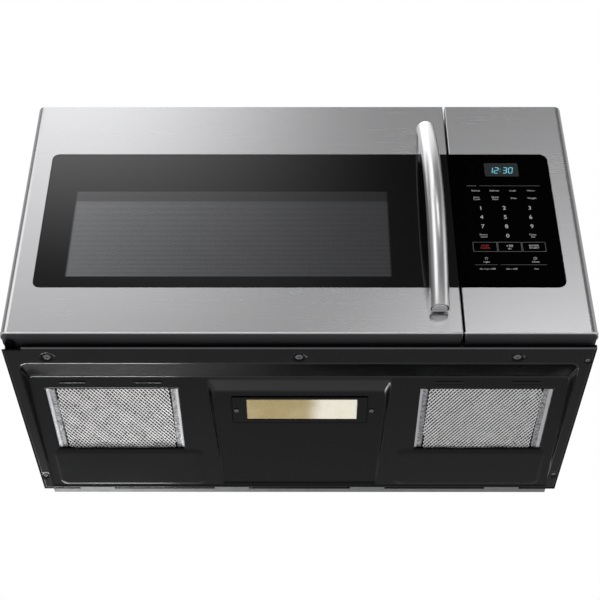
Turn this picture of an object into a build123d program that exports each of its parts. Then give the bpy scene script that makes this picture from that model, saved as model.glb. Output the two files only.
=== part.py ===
from build123d import *
import math
import os

# Over-the-range microwave oven, in millimetres.
# X runs to the right, Z up from the rim of the base pan, and Y back into the kitchen wall.
# Every piece is built with Y = 0 at the door's face, and is moved to the part's origin when it is written.

# ---- overall sizes ----
body_width = 759.0          # across the stainless front
side_inset = 1.0            # side of the painted case inside the edge of the front
panel_width = 170.5         # control panel, with half of the seam
front_height = 408.8        # stainless front, bottom edge to top edge
front_lift = 10.2           # bottom edge of the front above the rim of the base pan
body_depth = 386.0          # door's face to the kitchen wall
wall_room = 10.0            # back of the case to the kitchen wall
top_inset = 2.0             # top of the painted case below the top of the front
handle_reach = 61.8         # door's face to the crown of the handle

# ---- worked out from the overall sizes ----
half_width = body_width / 2
case_half = half_width - side_inset
seam_x = half_width - panel_width
front_bottom = front_lift
front_top = front_lift + front_height
case_top = front_top - top_inset
case_back = body_depth - wall_room

# ---- sheet and clearances ----
sheet = 1.2                 # painted steel of the case and the base pan
thin_sheet = 1.0            # enamelled steel of the cavity
skin_sheet = 1.2            # stainless steel of the front
seat = 0.3                  # space between pieces that sit in each other
shaft_play = 0.05           # radial space round a turning shaft
body_play = 0.5             # space between a moving piece and a fixed one

# ---- front ----
door_thickness = 34.0
door_gap = 2.0              # back of the door to the front frame
seam_gap = 2.5
front_corner = 10.0         # bend at the outer upright edges of the front
front_edge = 1.4            # bend at the other edges of the front
skin_return = 2.2           # how far the skin folds back along the top and bottom
skin_side = 14.0            # how far the skin folds back along the upright edges
glass_left = 32.5 - half_width
glass_right = half_width - 31.5
glass_bottom = front_bottom + 73.0
glass_top = front_top - 96.3
glass_corner = 10.0         # corners on the door's side
panel_corner = 12.0         # corners on the control panel's side
glass_thickness = 3.2
glass_gap = 0.8
glass_set_back = 0.4
window_x = (glass_left + 40.0, seam_x - 87.0)
window_z = (glass_bottom + 17.8, glass_top - 69.7)
window_corner = 8.0
window_margin = 8.0
display_x = (seam_x + 49.0, seam_x + 96.0)
display_z = (glass_top - 42.1, glass_top - 16.8)
display_corner = 1.5

# ---- inside of the door ----
frame_wall = 4.5            # rim of the moulded door frame round its rear pocket
choke_front = 20.0          # front of the folded choke
liner_front = 31.5          # front of the moulded choke cover
choke_margin = 24.0         # reach of the choke past the cavity's mouth
choke_border = 12.0         # width of the choke's channel
film_thickness = 2.0

# ---- latch and its switches ----
key_x = (seam_x - 24.0, seam_x - 12.0)
key_y = (22.0, 28.0)
key_z = (front_bottom + 84.8, front_top - 84.0)
hook_x = (key_x[0] + 4.0, key_x[0] + 8.0)
hook_height = 14.0
hook_lip = -5.0             # how far each hook's tip hangs below it
hook_z = (key_z[0] + 13.0, key_z[1] - 35.0)  # bottom of each hook
hook_reach = 54.0           # tip of the hooks behind the door's face
latch_rise = 4.0            # how far the latch lifts out of its catch
latch_room = 3.0            # space above and below a hook in its slot
spring_height = 21.0
spring_wire = 0.45
spring_radius = 3.4
spring_turns = 7
switch_x = (hook_x[0] - 4.0, hook_x[1] + 6.5)
switch_y = (60.0, 76.0)
switch_height = 28.0
button_x = (hook_x[0] + 0.5, hook_x[1] - 0.5)
button_z = (18.0, 22.0)     # height of the button above the bottom of its switch
button_gap = 0.5            # tip of a hook to the button
button_play = 0.3
board_x = (switch_x[1] + 0.5, switch_x[1] + 3.5)  # upright wall of the latch board

# ---- cavity ----
cavity_x = (26.5 - half_width, seam_x - 32.0)
cavity_room = 7.6           # back of the cavity to the rear panel
cavity_z = (62.0, case_top - 105.0)
cavity_corner = 4.0
guide_reach = 38.0          # depth of the waveguide beside the cavity
guide_y = (165.0, 265.0)
guide_z = (cavity_z[1] - 132.0, cavity_z[1] - 2.0)
guide_port_y = (185.0, 250.0)
guide_port_z = (guide_z[0] + 12.0, guide_z[0] + 60.0)
mica_sheet = 0.8
antenna = ((guide_y[0] + guide_y[1]) / 2, guide_z[1] - 42.0)
antenna_radius = 7.5
light_y = 117.0
light_z = cavity_z[1] - 35.0
light_hole_radius = 1.6
lamp_radius = 10.5
lamp_glass_length = 22.0
vent_hole_radius = 1.8
cutout_inset = 57.0         # thermal cutouts from the cavity's right wall
cutout_front = 33.0         # front cutout behind the front frame
cutout_room = 86.0          # rear cutout in front of the blower's shaft

# ---- handle ----
handle_x = seam_x - 30.0
handle_width = 24.8
handle_thickness = 17.5
handle_z = (front_bottom + 30.8, front_top - 53.0)
handle_bow = 41.0           # how far the middle stands out past the ends
handle_cap = 3.0
handle_neck = 1.0
handle_neck_inset = 1.2
post_width = 20.0
post_height = 36.0
post_corner = 5.0
stud_radius = 2.0

# ---- base pan ----
pan_front = 19.0
pan_lip = 5.8               # height of the folded front lip
pan_notch = (25.0, 3.5)     # step at the hinge corner
ramp_front = 52.7
floor_front = 103.0
floor_back = case_back - 10.0
rim_back = case_back - 8.0
floor_rise = 14.0
floor_end_rise = 1.0
floor_half = case_half - 19.5
wall_run = 10.0
pocket_front = 109.0
pocket_floor_front = 146.0
pocket_rise = 20.0
pocket_end_rise = 2.5
pocket_half = 125.0
pocket_end_half = 112.0
pocket_run = 8.0
tray_rise = 1.2             # pressed field round each filter opening
tray_x = (pocket_half + 13.0, case_half - 26.5)
filter_open_x = (tray_x[0] + 25.0, tray_x[1] - 10.0)
filter_open_y = (130.0, case_back - 104.5)
slot_x = (
    (32.0 - tray_x[1], 67.0 - tray_x[1]),
    (-tray_x[0] - 81.0, -tray_x[0] - 45.0),
    (tray_x[0] + 44.5, tray_x[0] + 80.5),
    (tray_x[1] - 67.5, tray_x[1] - 29.5),
)
slot_y = (111.5, 119.5)
lamp_x = (-92.0, 93.0)
lamp_y = (159.0, 214.5)
lens_x = (-73.0, 80.0)
lens_y = (163.5, 208.5)
rim_screw_x = (55.1 - case_half, 0.0, case_half - 98.7)
rim_screw_y = 39.2
edge_inset = 7.5            # edge screws from the side of the case
edge_screw = (
    (case_half - edge_inset, 46.4),
    (case_half - edge_inset, case_back - 41.8),
    (edge_inset - case_half, case_back - 38.1),
)
edge_hole_inset = 15.0
edge_hole_radius = 1.6
tab_x = (53.5 - case_half, -126.0, 75.0, case_half - 104.5)
tab_width = 51.0
tab_rise = 4.0

# ---- cooktop lamp ----
holder_lap = 8.0            # lamp holder past the lens at each end
holder_depth = 19.0
bulb_base = (6.0, 20.0)     # radius and length
bulb_glass = (7.2, 28.0)
bulb_height = 11.0

# ---- grease filters ----
filter_lap = 8.5            # how far a filter covers the floor round its opening
filter_thickness = 8.0
filter_border = (18.5, 7.0)  # width of the folded frame along X and down the slope
filter_frame_rise = 2.6     # how far the frame stands out past the mesh
filter_grip = 6.0           # how far a rail reaches under the frame

# ---- screws ----
screw_head = 5.2
edge_screw_head = 3.4
screw_shank = 2.0
lamp_screw_shank = 1.4
dimple_radius = 8.0
edge_dimple_radius = 4.6
dimple_rise = 2.4
rear_screw_x = case_half - 10.5
rear_screw_z = (30.0, 210.0, case_top - 27.0)

# ---- case, frame and wall plate ----
plate_half = case_half - 13.5
plate_sheet = 1.6
plate_top = 285.0
plate_hole_x = 609.6
plate_hole_z = 152.4
plate_hole_low = 80.0
plate_hole_radius = 4.0
bolt_spacing = 508.0
bolt_depth = 125.0
bolt_hole_radius = 3.4
grille_x = (43.5 - case_half, case_half - 43.5)
grille_y = (40.0, 82.0)
collar_x = 254.0            # outside of the exhaust collar
collar_y = 82.5
collar_height = 25.0
collar_depth = case_back - 60.0  # middle of the collar behind the door's face
collar_flange = 12.0
flap_pin = 1.5
flap_sheet = 1.0
flap_barrel = 1.9
flap_lift = 2.4             # hinge of the flap above the adaptor's flange
flap_inset = 3.0            # hinge of the flap from the inside of the collar
cord_hole_radius = 9.0
cord_bore_radius = 5.0
cord_place = (case_half - 48.5, case_back - 36.0)

# ---- hinge ----
pivot_inset = 11.0          # hinge axis from the left face
pivot_depth = 20.0
hinge_pin_radius = 3.0
hinge_pin_length = 14.0
hinge_arm = 2.5
hinge_arm_half = 7.0
hinge_arm_gap = 1.4         # hinge arm to the door above or below it
hinge_notch = 11.0          # height of the step that the upper arm fills
hinge_plate_z = (40.0, front_top - 42.5)  # top of the lower hinge plate, bottom of the upper one
rear_chamfer = 10.0

# ---- turntable ----
tray_room = 6.0             # rim of the tray to the front and the back of the cavity
tray_thickness = 5.0
tray_rim = 9.0
roller_radius = 9.0
roller_width = 7.0
roller_offset = 8.7         # middle of each roller past the middle of the ring
roller_count = 3
roller_axle = 2.0
ring_inset = 59.0           # middle of the ring inside the tray's rim
ring_half = 4.0
coupler_stem = 5.0
coupler_radius = 10.0
motor_height = 20.0
motor_radius = 25.0

# ---- blower ----
wheel_radius = 42.0
wheel_gap = 4.0
wheel_length = 70.0
wheel_offset = 90.0         # middle of each wheel from the middle of the part
blade_count = 24
blower_shaft = 4.0
blower_motor_radius = 36.0

# ---- cooling fan ----
fan_x = seam_x + 76.0
fan_z = 165.0
fan_radius = 54.0
fan_plane = case_back - 54.0
fan_half = 62.0
fan_shaft = 2.0
fan_paddles = 5

# ---- worked out from these ----
face_y = (handle_reach - body_depth) / 2
inner_half = case_half - sheet
frame_front = door_thickness + door_gap
frame_back = frame_front + sheet
rear_front = case_back - sheet
cavity_back = rear_front - cavity_room
tray_radius = (cavity_back - frame_back) / 2 - tray_room
ring_radius = tray_radius - ring_inset
roller_circle = ring_radius + roller_offset
cavity_mid_x = (cavity_x[0] + cavity_x[1]) / 2
cavity_mid_y = (frame_back + cavity_back) / 2
shelf_top = cavity_z[0] - thin_sheet
bay_left = cavity_x[1] + thin_sheet
door_left = -half_width
door_right = seam_x - seam_gap / 2
panel_left = seam_x + seam_gap / 2
pivot_x = door_left + pivot_inset
under_case_top = case_top - sheet
blower_z = (cavity_z[1] + thin_sheet + under_case_top) / 2
liner_back = door_thickness - seat
switch_mid_y = (switch_y[0] + switch_y[1]) / 2
level_bend = front_edge * 0.8
low_arm_top = front_bottom - hinge_arm_gap
high_arm_bottom = front_top - hinge_notch + hinge_arm_gap
holder_x = (lens_x[0] - holder_lap, lens_x[1] + holder_lap)
guide_x = bay_left + guide_reach
axle_height = cavity_z[0] + seat + roller_radius
tray_under = axle_height + roller_radius + seat

UP = (0, 0, 0)
BACK = (-90, 0, 0)
FORWARD = (90, 0, 0)
RIGHT = (0, 90, 0)
LEFT = (0, -90, 0)


# ---- shapes ----
def block(x, y, z):
    """Box between two limits along each axis."""
    corner = (Align.MIN, Align.MIN, Align.MIN)
    return Pos(x[0], y[0], z[0]) * Box(x[1] - x[0], y[1] - y[0], z[1] - z[0], align=corner)


def rod(start, radius, length, turn=UP):
    """Cylinder that starts at a point and runs the way it is turned."""
    foot = (Align.CENTER, Align.CENTER, Align.MIN)
    return Pos(*start) * Rot(*turn) * Cylinder(radius, length, align=foot)


def slab_xz(x, y, z, corner):
    """Plate across X and Z with round corners, as thick as the Y limits."""
    outline = RectangleRounded(x[1] - x[0], z[1] - z[0], corner)
    middle = Pos((x[0] + x[1]) / 2, y[0], (z[0] + z[1]) / 2)
    return middle * Rot(*BACK) * extrude(outline, amount=y[1] - y[0])


def slab_xy(x, y, z, corner):
    """Plate across X and Y with round corners, as thick as the Z limits."""
    outline = RectangleRounded(x[1] - x[0], y[1] - y[0], corner)
    return Pos((x[0] + x[1]) / 2, (y[0] + y[1]) / 2, z[0]) * extrude(outline, amount=z[1] - z[0])


def screw(start, turn, head_radius, head_height, shank_radius, shank_length):
    """Pan-head screw with a cross recess, from the top of its head along the shank."""
    head = fillet(rod(UP, head_radius, head_height).edges().group_by(Axis.Z)[0], head_height * 0.6)
    head += rod((0, 0, head_height), shank_radius, shank_length)
    slot = head_radius * 0.9
    for turn_slot in (0, 90):
        head -= Rot(0, 0, turn_slot) * Box(slot, head_radius * 0.2, head_height * 0.8)
    return Pos(*start) * Rot(*turn) * head


def shrink(limits, amount):
    """Limits drawn in by the same amount at both ends."""
    return (limits[0] + amount, limits[1] - amount)


def write(name, shape):
    """One file for one named piece, moved from the door's face to the part's origin."""
    solids = [Pos(0, face_y, 0) * solid for solid in shape.solids()]
    placed = solids[0]
    if len(solids) > 1:
        placed = Compound(solids)
    placed.label = name
    export_step(placed, "parts/" + name + ".step")


# ---- stainless front ----
def front_body(x, z, y, left_bend, right_bend):
    """Solid behind a stretch of the front, with a bend at each upright edge."""
    body = block(x, y, z)
    uprights = body.edges().filter_by(Axis.Z).group_by(Axis.Y)[0].sort_by(Axis.X)
    body = fillet(uprights[0], left_bend)
    uprights = body.edges().filter_by(Axis.Z).group_by(Axis.Y)[0].sort_by(Axis.X)
    return fillet(uprights[-1], right_bend)


def front_skin(x, left_bend, right_bend):
    """Bent sheet that wraps a front: deep at the sides, a short return at the top and bottom."""
    z = (front_bottom, front_top)
    skin = front_body(x, z, (0, skin_side), left_bend, right_bend)
    for height in z:
        skin = bend_line(skin, height)
    inner_x = shrink(x, skin_sheet)
    inner_z = shrink(z, skin_sheet)
    bends = (left_bend - skin_sheet, right_bend - skin_sheet)
    skin -= front_body(inner_x, inner_z, (skin_sheet, skin_side + 1), bends[0], bends[1])
    tall = (front_bottom - 1, front_top + 1)
    open_back = front_body(inner_x, tall, (skin_sheet, skin_side + 1), bends[0], bends[1])
    skin -= open_back & block((x[0], x[1]), (skin_return, skin_side + 1), tall)
    return skin


def bend_line(body, height):
    """Small bend along the straight front edge at one height."""
    edges = body.edges().filter_by(Axis.X).filter_by(lambda edge: abs(edge.center().Z - height) < 0.01)
    return fillet(edges.sort_by(Axis.Y)[0], level_bend)


def make_door_skin():
    skin = front_skin((door_left, door_right), front_corner, front_edge)
    opening_x = (glass_left, door_right + 40)
    skin -= slab_xz(opening_x, (-1, skin_side + 1), (glass_bottom, glass_top), glass_corner)
    skin -= hinge_notch_space()
    for z in handle_post_heights():
        skin -= rod((handle_x, -1, z), stud_radius + body_play, 10, BACK)
    return skin


def make_control_panel_skin():
    skin = front_skin((panel_left, half_width), front_edge, front_corner)
    opening_x = (panel_left - 40, glass_right)
    return skin - slab_xz(opening_x, (-1, skin_side + 1), (glass_bottom, glass_top), panel_corner)


def make_door_glass():
    x = (glass_left + glass_gap, door_right - seat)
    z = shrink((glass_bottom, glass_top), glass_gap)
    y = (glass_set_back, glass_set_back + glass_thickness)
    glass = slab_xz((x[0], x[1] + 40), y, z, glass_corner - glass_gap)
    glass &= block(x, y, z)
    return glass


def make_control_glass():
    x = (panel_left + seat, glass_right - glass_gap)
    z = shrink((glass_bottom, glass_top), glass_gap)
    y = (glass_set_back, glass_set_back + glass_thickness)
    glass = slab_xz((x[0] - 40, x[1]), y, z, panel_corner - glass_gap)
    glass &= block(x, y, z)
    return glass - slab_xz(display_x, (-1, 10), display_z, display_corner)


def make_display_lens():
    y = (glass_set_back, glass_set_back + glass_thickness)
    return slab_xz(shrink(display_x, 0.1), y, shrink(display_z, 0.1), display_corner)


# ---- door ----
def latch_slot(z, x_room):
    """Tall opening for one latch hook, with room for its rise."""
    high = z + hook_height + latch_rise + latch_room
    return (hook_x[0] - 1.5, hook_x[1] + x_room), (z + hook_lip - latch_room, high)


def hinge_notch_space():
    """Space that the upper hinge arm needs in the top corner of the door, open or shut."""
    x = (door_left - 1, pivot_x + hinge_arm_half + 8)
    return block(x, (9, door_thickness + 1), (front_top - hinge_notch, front_top + 1))


def handle_post_heights():
    """Middle height of each post of the handle."""
    inset = post_height / 2 + 5
    return (handle_z[0] + inset, handle_z[1] - inset)


def make_door_frame():
    """Moulding behind the skin and the glass, open at the back for the choke and the latch."""
    x = (door_left + skin_sheet + seat, door_right - skin_sheet - seat)
    z = (front_bottom + 0.2, front_top - 0.2)
    bend = front_corner - skin_sheet - seat
    frame = front_body(x, z, (skin_return + 0.2, door_thickness), bend, seat)
    rear_edges = frame.edges().filter_by(Axis.Z).group_by(Axis.Y)[-1].sort_by(Axis.X)
    frame = chamfer(rear_edges[0], rear_chamfer - skin_sheet)
    glass_pocket = ((glass_left + 0.2, door_right + 1), (0, glass_set_back + glass_thickness + 0.1))
    frame -= block(glass_pocket[0], glass_pocket[1], shrink((glass_bottom, glass_top), 0.2))
    pocket_x = (x[0] + frame_wall + rear_chamfer, x[1] - frame_wall)
    pocket_z = shrink(z, frame_wall)
    frame -= block(pocket_x, (choke_front, door_thickness + 1), pocket_z)
    frame -= slab_xz(window_x, (-1, door_thickness + 1), window_z, window_corner)
    pin_room = hinge_pin_radius + shaft_play
    frame -= rod((pivot_x, pivot_depth, front_bottom - 1), pin_room, hinge_pin_length + 2)
    frame -= rod((pivot_x, pivot_depth, front_top - hinge_notch - hinge_pin_length - 1), pin_room, 30)
    frame -= hinge_notch_space()
    for height in handle_post_heights():
        frame -= rod((handle_x, 0, height), stud_radius + body_play, choke_front + 1, BACK)
    shelf_bottom = key_z[1] + spring_height + 2 * (spring_wire + seat)
    frame += block(key_x, (choke_front - 1, liner_front - 1), (shelf_bottom, shelf_bottom + 3))
    return frame


def liner_limits():
    """Outline of the choke cover inside the rear pocket of the door frame."""
    left = door_left + skin_sheet + seat + frame_wall + rear_chamfer + seat
    right = door_right - skin_sheet - seat - frame_wall - seat
    return (left, right), shrink((front_bottom + 0.2, front_top - 0.2), frame_wall + seat)


def make_choke_cover():
    """Moulded cover round the choke, with the slots that the latch hooks come through."""
    x, z = liner_limits()
    cover = slab_xz(x, (liner_front, liner_back), z, 6)
    rear = cover.edges().group_by(Axis.Y)[-1]
    cover = fillet(rear, 1.2)
    cover -= slab_xz(window_x, (liner_front - 1, liner_back + 1), window_z, window_corner)
    cover -= hinge_notch_space()
    for hook in hook_z:
        slot_x_limits, slot_z_limits = latch_slot(hook, 1.5)
        cover -= block(slot_x_limits, (liner_front - 1, liner_back + 1), slot_z_limits)
    return cover


def make_choke_frame():
    """Folded steel choke round the cavity mouth, with the perforated screen in its middle."""
    outer_x = (cavity_x[0] - 0.5, cavity_x[1] + 3.0)
    outer_z = shrink(cavity_z, -choke_margin)
    choke = slab_xz(outer_x, (choke_front, liner_front), outer_z, 6)
    hollow_x = shrink(outer_x, choke_border)
    hollow_z = shrink(outer_z, choke_border)
    choke -= slab_xz(hollow_x, (choke_front + thin_sheet, liner_front + 1), hollow_z, 4)
    choke += slab_xz(window_x, (choke_front, choke_front + thin_sheet), window_z, window_corner)
    for height in handle_post_heights():
        choke -= rod((handle_x, choke_front - 1, height), stud_radius * 2.2 + body_play, 20, BACK)
    return choke


def make_inner_window():
    """Clear film over the screen, held between the choke and its cover."""
    back = liner_front - seat
    y = (back - film_thickness, back)
    return slab_xz(shrink(window_x, -window_margin), y, shrink(window_z, -window_margin), window_corner)


def make_latch_key():
    """Upright bar with a hook at each end, which rises to let go of its catch."""
    key = block(key_x, key_y, key_z)
    for z in hook_z:
        key += block(hook_x, (key_y[1] - 1, hook_reach), (z, z + hook_height))
        key += block(hook_x, (hook_reach - 6, hook_reach), (z + hook_lip, z + hook_height))
    tips = key.edges().filter_by(Axis.X).group_by(Axis.Y)[-1]
    return fillet(tips, 2)


def make_latch_spring():
    """Coil above the latch key that pushes it down onto its seat."""
    coil = Helix(pitch=spring_height / spring_turns, height=spring_height, radius=spring_radius)
    section = Plane(origin=coil @ 0, z_dir=coil % 0) * Circle(spring_wire)
    middle_x = (key_x[0] + key_x[1]) / 2
    middle_y = (key_y[0] + key_y[1]) / 2
    return Pos(middle_x, middle_y, key_z[1] + spring_wire + seat) * sweep(section, path=coil)


# ---- handle ----
def handle_sweep(width, thickness, start_angle, end_angle):
    """D-shaped section turned about the centre of the handle's bow, between two angles from its middle."""
    half = (handle_z[1] - handle_z[0]) / 2
    radius = (half ** 2 + handle_bow ** 2) / (2 * handle_bow)
    crown_y = -handle_reach + handle_thickness / 2
    mid_z = (handle_z[0] + handle_z[1]) / 2
    flat = thickness / 2
    shoulder = thickness * 0.12
    corner = thickness * 0.16
    right = Vector(width / 2, shoulder)
    left = Vector(-width / 2, shoulder)
    outline = [
        ThreePointArc(left, (0, -flat), right),
        Line(right, (width / 2, flat - corner)),
        Line((width / 2, flat - corner), (width / 2 - corner, flat)),
        Line((width / 2 - corner, flat), (corner - width / 2, flat)),
        Line((corner - width / 2, flat), (-width / 2, flat - corner)),
        Line((-width / 2, flat - corner), left),
    ]
    section = Pos(handle_x, crown_y, mid_z) * make_face(outline)
    centre = (handle_x, crown_y + radius, mid_z)
    turned = section.rotate(Axis(centre, (1, 0, 0)), start_angle)
    return revolve(turned, Axis(centre, (1, 0, 0)), end_angle - start_angle)


def handle_angles():
    """Angle of the handle's ends, and of the neck and the cap beyond them."""
    half = (handle_z[1] - handle_z[0]) / 2
    radius = (half ** 2 + handle_bow ** 2) / (2 * handle_bow)
    full = math.degrees(math.asin(half / radius))
    cap = math.degrees(handle_cap / radius)
    neck = math.degrees(handle_neck / radius)
    return full, cap, neck


def make_handle_bar():
    full, cap, neck = handle_angles()
    reach = full - cap - neck
    return handle_sweep(handle_width, handle_thickness, -reach, reach)


def make_handle_end_caps():
    """Two caps with a narrow neck between each and the bar."""
    full, cap, neck = handle_angles()
    caps = []
    for side in (-1, 1):
        inner = side * (full - cap - neck)
        shoulder = side * (full - cap)
        outer = side * full
        smaller = (handle_width - 2 * handle_neck_inset, handle_thickness - 2 * handle_neck_inset)
        piece = handle_sweep(smaller[0], smaller[1], min(inner, outer), max(inner, outer))
        piece += handle_sweep(handle_width, handle_thickness, min(shoulder, outer), max(shoulder, outer))
        caps.append(piece)
    return Compound(caps)


def make_handle_posts():
    """Two posts that end against the bow, each with a stud through the door and its nut."""
    full = handle_angles()[0]
    bar = handle_sweep(handle_width, handle_thickness, -full, full)
    x = (handle_x - post_width / 2, handle_x + post_width / 2)
    posts = []
    for z in handle_post_heights():
        post = slab_xz(x, (-handle_reach, 0), (z - post_height / 2, z + post_height / 2), post_corner)
        shadow = Pos(0, -handle_thickness / 2, 0) * bar
        cut = post - bar - shadow
        pieces = cut.solids().sort_by(Axis.Y)
        stud = rod((handle_x, -7, z), stud_radius, 7 + choke_front + 5, BACK)
        nut = rod((handle_x, choke_front + 0.2, z), stud_radius * 2.2, 3.2, BACK)
        posts.append(pieces[-1] + stud + nut)
    return Compound(posts)


# ---- hinges ----
def make_door_hinges():
    """Two arms from the case, each with a pin that the door turns on."""
    lower = (low_arm_top - hinge_arm, low_arm_top - 0.5, (sheet, hinge_plate_z[0]))
    upper = (high_arm_bottom, high_arm_bottom - hinge_pin_length, (hinge_plate_z[1], under_case_top))
    hinges = []
    for arm_bottom, pin_bottom, plate_z in (lower, upper):
        x = (pivot_x - hinge_arm_half, pivot_x + hinge_arm_half)
        hinge = block(x, (pivot_depth, frame_back), (arm_bottom, arm_bottom + hinge_arm))
        hinge += rod((pivot_x, pivot_depth, arm_bottom), hinge_arm_half, hinge_arm)
        hinge += rod((pivot_x, pivot_depth, pin_bottom), hinge_pin_radius, hinge_pin_length + 0.5)
        hinge += block((x[0], x[1] + 8), (frame_back, frame_back + hinge_arm), plate_z)
        hinges.append(hinge)
    return Compound(hinges)


def hinge_slots():
    """Openings in the front frame for the two hinge arms."""
    x = (pivot_x - hinge_arm_half - seat, pivot_x + hinge_arm_half + seat)
    y = (frame_front - 1, frame_back + 1)
    low = block(x, y, (low_arm_top - hinge_arm - seat, low_arm_top + seat))
    return low + block(x, y, (high_arm_bottom - seat, high_arm_bottom + hinge_arm + seat))


# ---- case ----
def make_outer_case():
    """Bent steel top and sides, with louvres low in the right side."""
    case = block((-case_half, case_half), (frame_front, case_back), (sheet, case_top))
    case -= block((-inner_half, inner_half), (0, body_depth), (0, under_case_top))
    top_cut = (under_case_top - 1, case_top + 1)
    case -= block(grille_x, grille_y, top_cut)
    half_x = collar_x / 2 - 2
    half_y = collar_y / 2 - 2
    case -= block((-half_x, half_x), (collar_depth - half_y, collar_depth + half_y), top_cut)
    for side in (-1, 1):
        case -= rod((side * bolt_spacing / 2, bolt_depth, under_case_top - 1), bolt_hole_radius, 4)
    case -= rod((cord_place[0], cord_place[1], under_case_top - 1), cord_hole_radius, 4)
    for step in range(9):
        y = (case_back - 86 + step * 8, case_back - 83 + step * 8)
        case -= block((inner_half - 1, case_half + 1), y, (case_top - 87, case_top - 32))
    return case


def make_front_frame():
    """Steel face round the cavity's mouth: two stiles and two rails welded edge to edge, with tabs for
    the base pan's screws."""
    z = (sheet, under_case_top)
    y = (frame_front, frame_back)
    frame = block((-inner_half, inner_half), y, z)
    cut = (frame_front - 1, frame_back + 1)
    frame -= slab_xz(cavity_x, cut, cavity_z, cavity_corner)
    for low in (cavity_z[0] + 58, cavity_z[0] + 198):
        frame -= slab_xz((seam_x + 41, seam_x + 111), cut, (low, low + 60), 6)
    for hook in hook_z:
        slot_x_limits, slot_z_limits = latch_slot(hook, 3.0)
        frame -= block(slot_x_limits, cut, slot_z_limits)
    frame -= hinge_slots()
    for x in rim_screw_x:
        room = dimple_radius + sheet + seat
        frame -= block((x - room, x + room), cut, (0, dimple_rise + sheet))
        tab_z = (dimple_rise + sheet, dimple_rise + 2 * sheet)
        tab = block((x - 14, x + 14), (frame_front, frame_front + 16), tab_z)
        frame += tab - rod((x, rim_screw_y, 0), screw_shank + shaft_play, 12)
    deep = (frame_front - 1, frame_front + 20)
    left_stile = frame & block((-inner_half, cavity_x[0]), deep, z)
    rails = frame & block(cavity_x, deep, z)
    right_stile = frame & block((cavity_x[1], inner_half), deep, z)
    return Compound([*left_stile.solids(), *rails.solids(), *right_stile.solids()])


def make_rear_panel():
    """Back of the case, with ribs and an air inlet."""
    bottom = plate_sheet + seat
    panel = block((-inner_half, inner_half), (rear_front, case_back), (bottom, under_case_top))
    for step in range(7):
        inlet_z = (fan_z - 55 + step * 14, fan_z - 50 + step * 14)
        panel -= block((fan_x - 35, fan_x + 45), (rear_front - 1, case_back + 1), inlet_z)
    for x in (78.5 - case_half, -100, 100, case_half - 78.5):
        panel += slab_xz((x - 8, x + 8), (case_back, case_back + 1.5), (60, 300), 7)
    for x, z in rear_screw_places():
        panel -= rod((x, rear_front - 1, z), screw_shank + shaft_play, 4, BACK)
    return panel


def rear_screw_places():
    """Screws up both edges of the rear panel."""
    return [(side * rear_screw_x, z) for side in (-1, 1) for z in rear_screw_z]


def make_wall_plate():
    """Plate that is bolted to the wall, with a lower flange and four hooks that the oven hangs on."""
    y = (body_depth - plate_sheet, body_depth)
    plate = slab_xz((-plate_half, plate_half), y, (0, plate_top), 8)
    plate += block((-plate_half, plate_half), (case_back + 0.3, body_depth), (0, plate_sheet))
    for x in tab_x:
        plate += block((x, x + tab_width), (case_back - 4.6, body_depth), (0, plate_sheet))
        plate += block((x, x + tab_width), (case_back - 4.6, case_back - 3.4), (0, tab_rise))
    cut = (body_depth - 5, body_depth + 1)
    for x in (-200, 0, 200):
        plate -= slab_xz((x - 35, x + 35), cut, (plate_top - 135, plate_top - 70), 10)
    for side in (-1, 1):
        for z in (plate_hole_low, plate_hole_low + plate_hole_z):
            plate -= rod((side * plate_hole_x / 2, body_depth - 6, z), plate_hole_radius, 8, BACK)
    pitch = (plate_half - 29) / 7
    for step in range(-7, 8):
        plate -= slab_xz((step * pitch - 7, step * pitch + 7), cut, (30, 36), 2.8)
    return plate


# ---- base pan ----
def four_sided(front, back, corner):
    """Closed outline with round corners on a plane that may slope from front to back.
    Each end is given as (left, right, depth, height)."""
    points = [
        (front[0], front[2], front[3]),
        (front[1], front[2], front[3]),
        (back[1], back[2], back[3]),
        (back[0], back[2], back[3]),
    ]
    return FilletPolyline(*points, radius=corner, close=True)


def pressed_form(low_front, low_back, high_front, high_back, corner, grow):
    """Solid between an outline on the rim and one on the pressed floor, larger all round by the sheet."""
    def larger(end, out, lift):
        return (end[0] - grow, end[1] + grow, end[2] + out * grow, end[3] + lift)
    low = four_sided(larger(low_front, -1, 0), larger(low_back, 1, 0), corner)
    high = four_sided(larger(high_front, -1, grow), larger(high_back, 1, grow), corner)
    return Solid.make_loft([Wire(low.edges()), Wire(high.edges())], True)


def main_height(y):
    """Height of the pan's main floor at a depth."""
    share = (y - floor_front) / (floor_back - floor_front)
    return floor_rise + (floor_end_rise - floor_rise) * share


def pocket_height(y):
    """Height of the lamp pocket's floor at a depth."""
    share = (y - pocket_floor_front) / (floor_back - pocket_floor_front)
    return pocket_rise + (pocket_end_rise - pocket_rise) * share


main_angle = math.degrees(math.atan2(floor_rise - floor_end_rise, floor_back - floor_front))
pocket_angle = math.degrees(math.atan2(pocket_rise - pocket_end_rise, floor_back - pocket_floor_front))
on_main = Pos(0, floor_front, floor_rise) * Rot(-main_angle, 0, 0)
on_pocket = Pos(0, pocket_floor_front, pocket_rise) * Rot(-pocket_angle, 0, 0)
main_run = 1 / math.cos(math.radians(main_angle))
pocket_run_scale = 1 / math.cos(math.radians(pocket_angle))


def along_main(depths):
    """Depths behind the door's face as distances down the main floor."""
    return tuple((depth - floor_front) * main_run for depth in depths)


def along_pocket(depths):
    """Depths behind the door's face as distances down the pocket's floor."""
    return tuple((depth - pocket_floor_front) * pocket_run_scale for depth in depths)


def main_form(grow):
    rim = floor_half + wall_run
    low_front = (-rim, rim, ramp_front, -0.01)
    low_back = (-rim, rim, rim_back, -0.01)
    high_front = (-floor_half, floor_half, floor_front, floor_rise)
    high_back = (-rim + 1, rim - 1, floor_back, floor_end_rise)
    return pressed_form(low_front, low_back, high_front, high_back, 9, grow)


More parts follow.
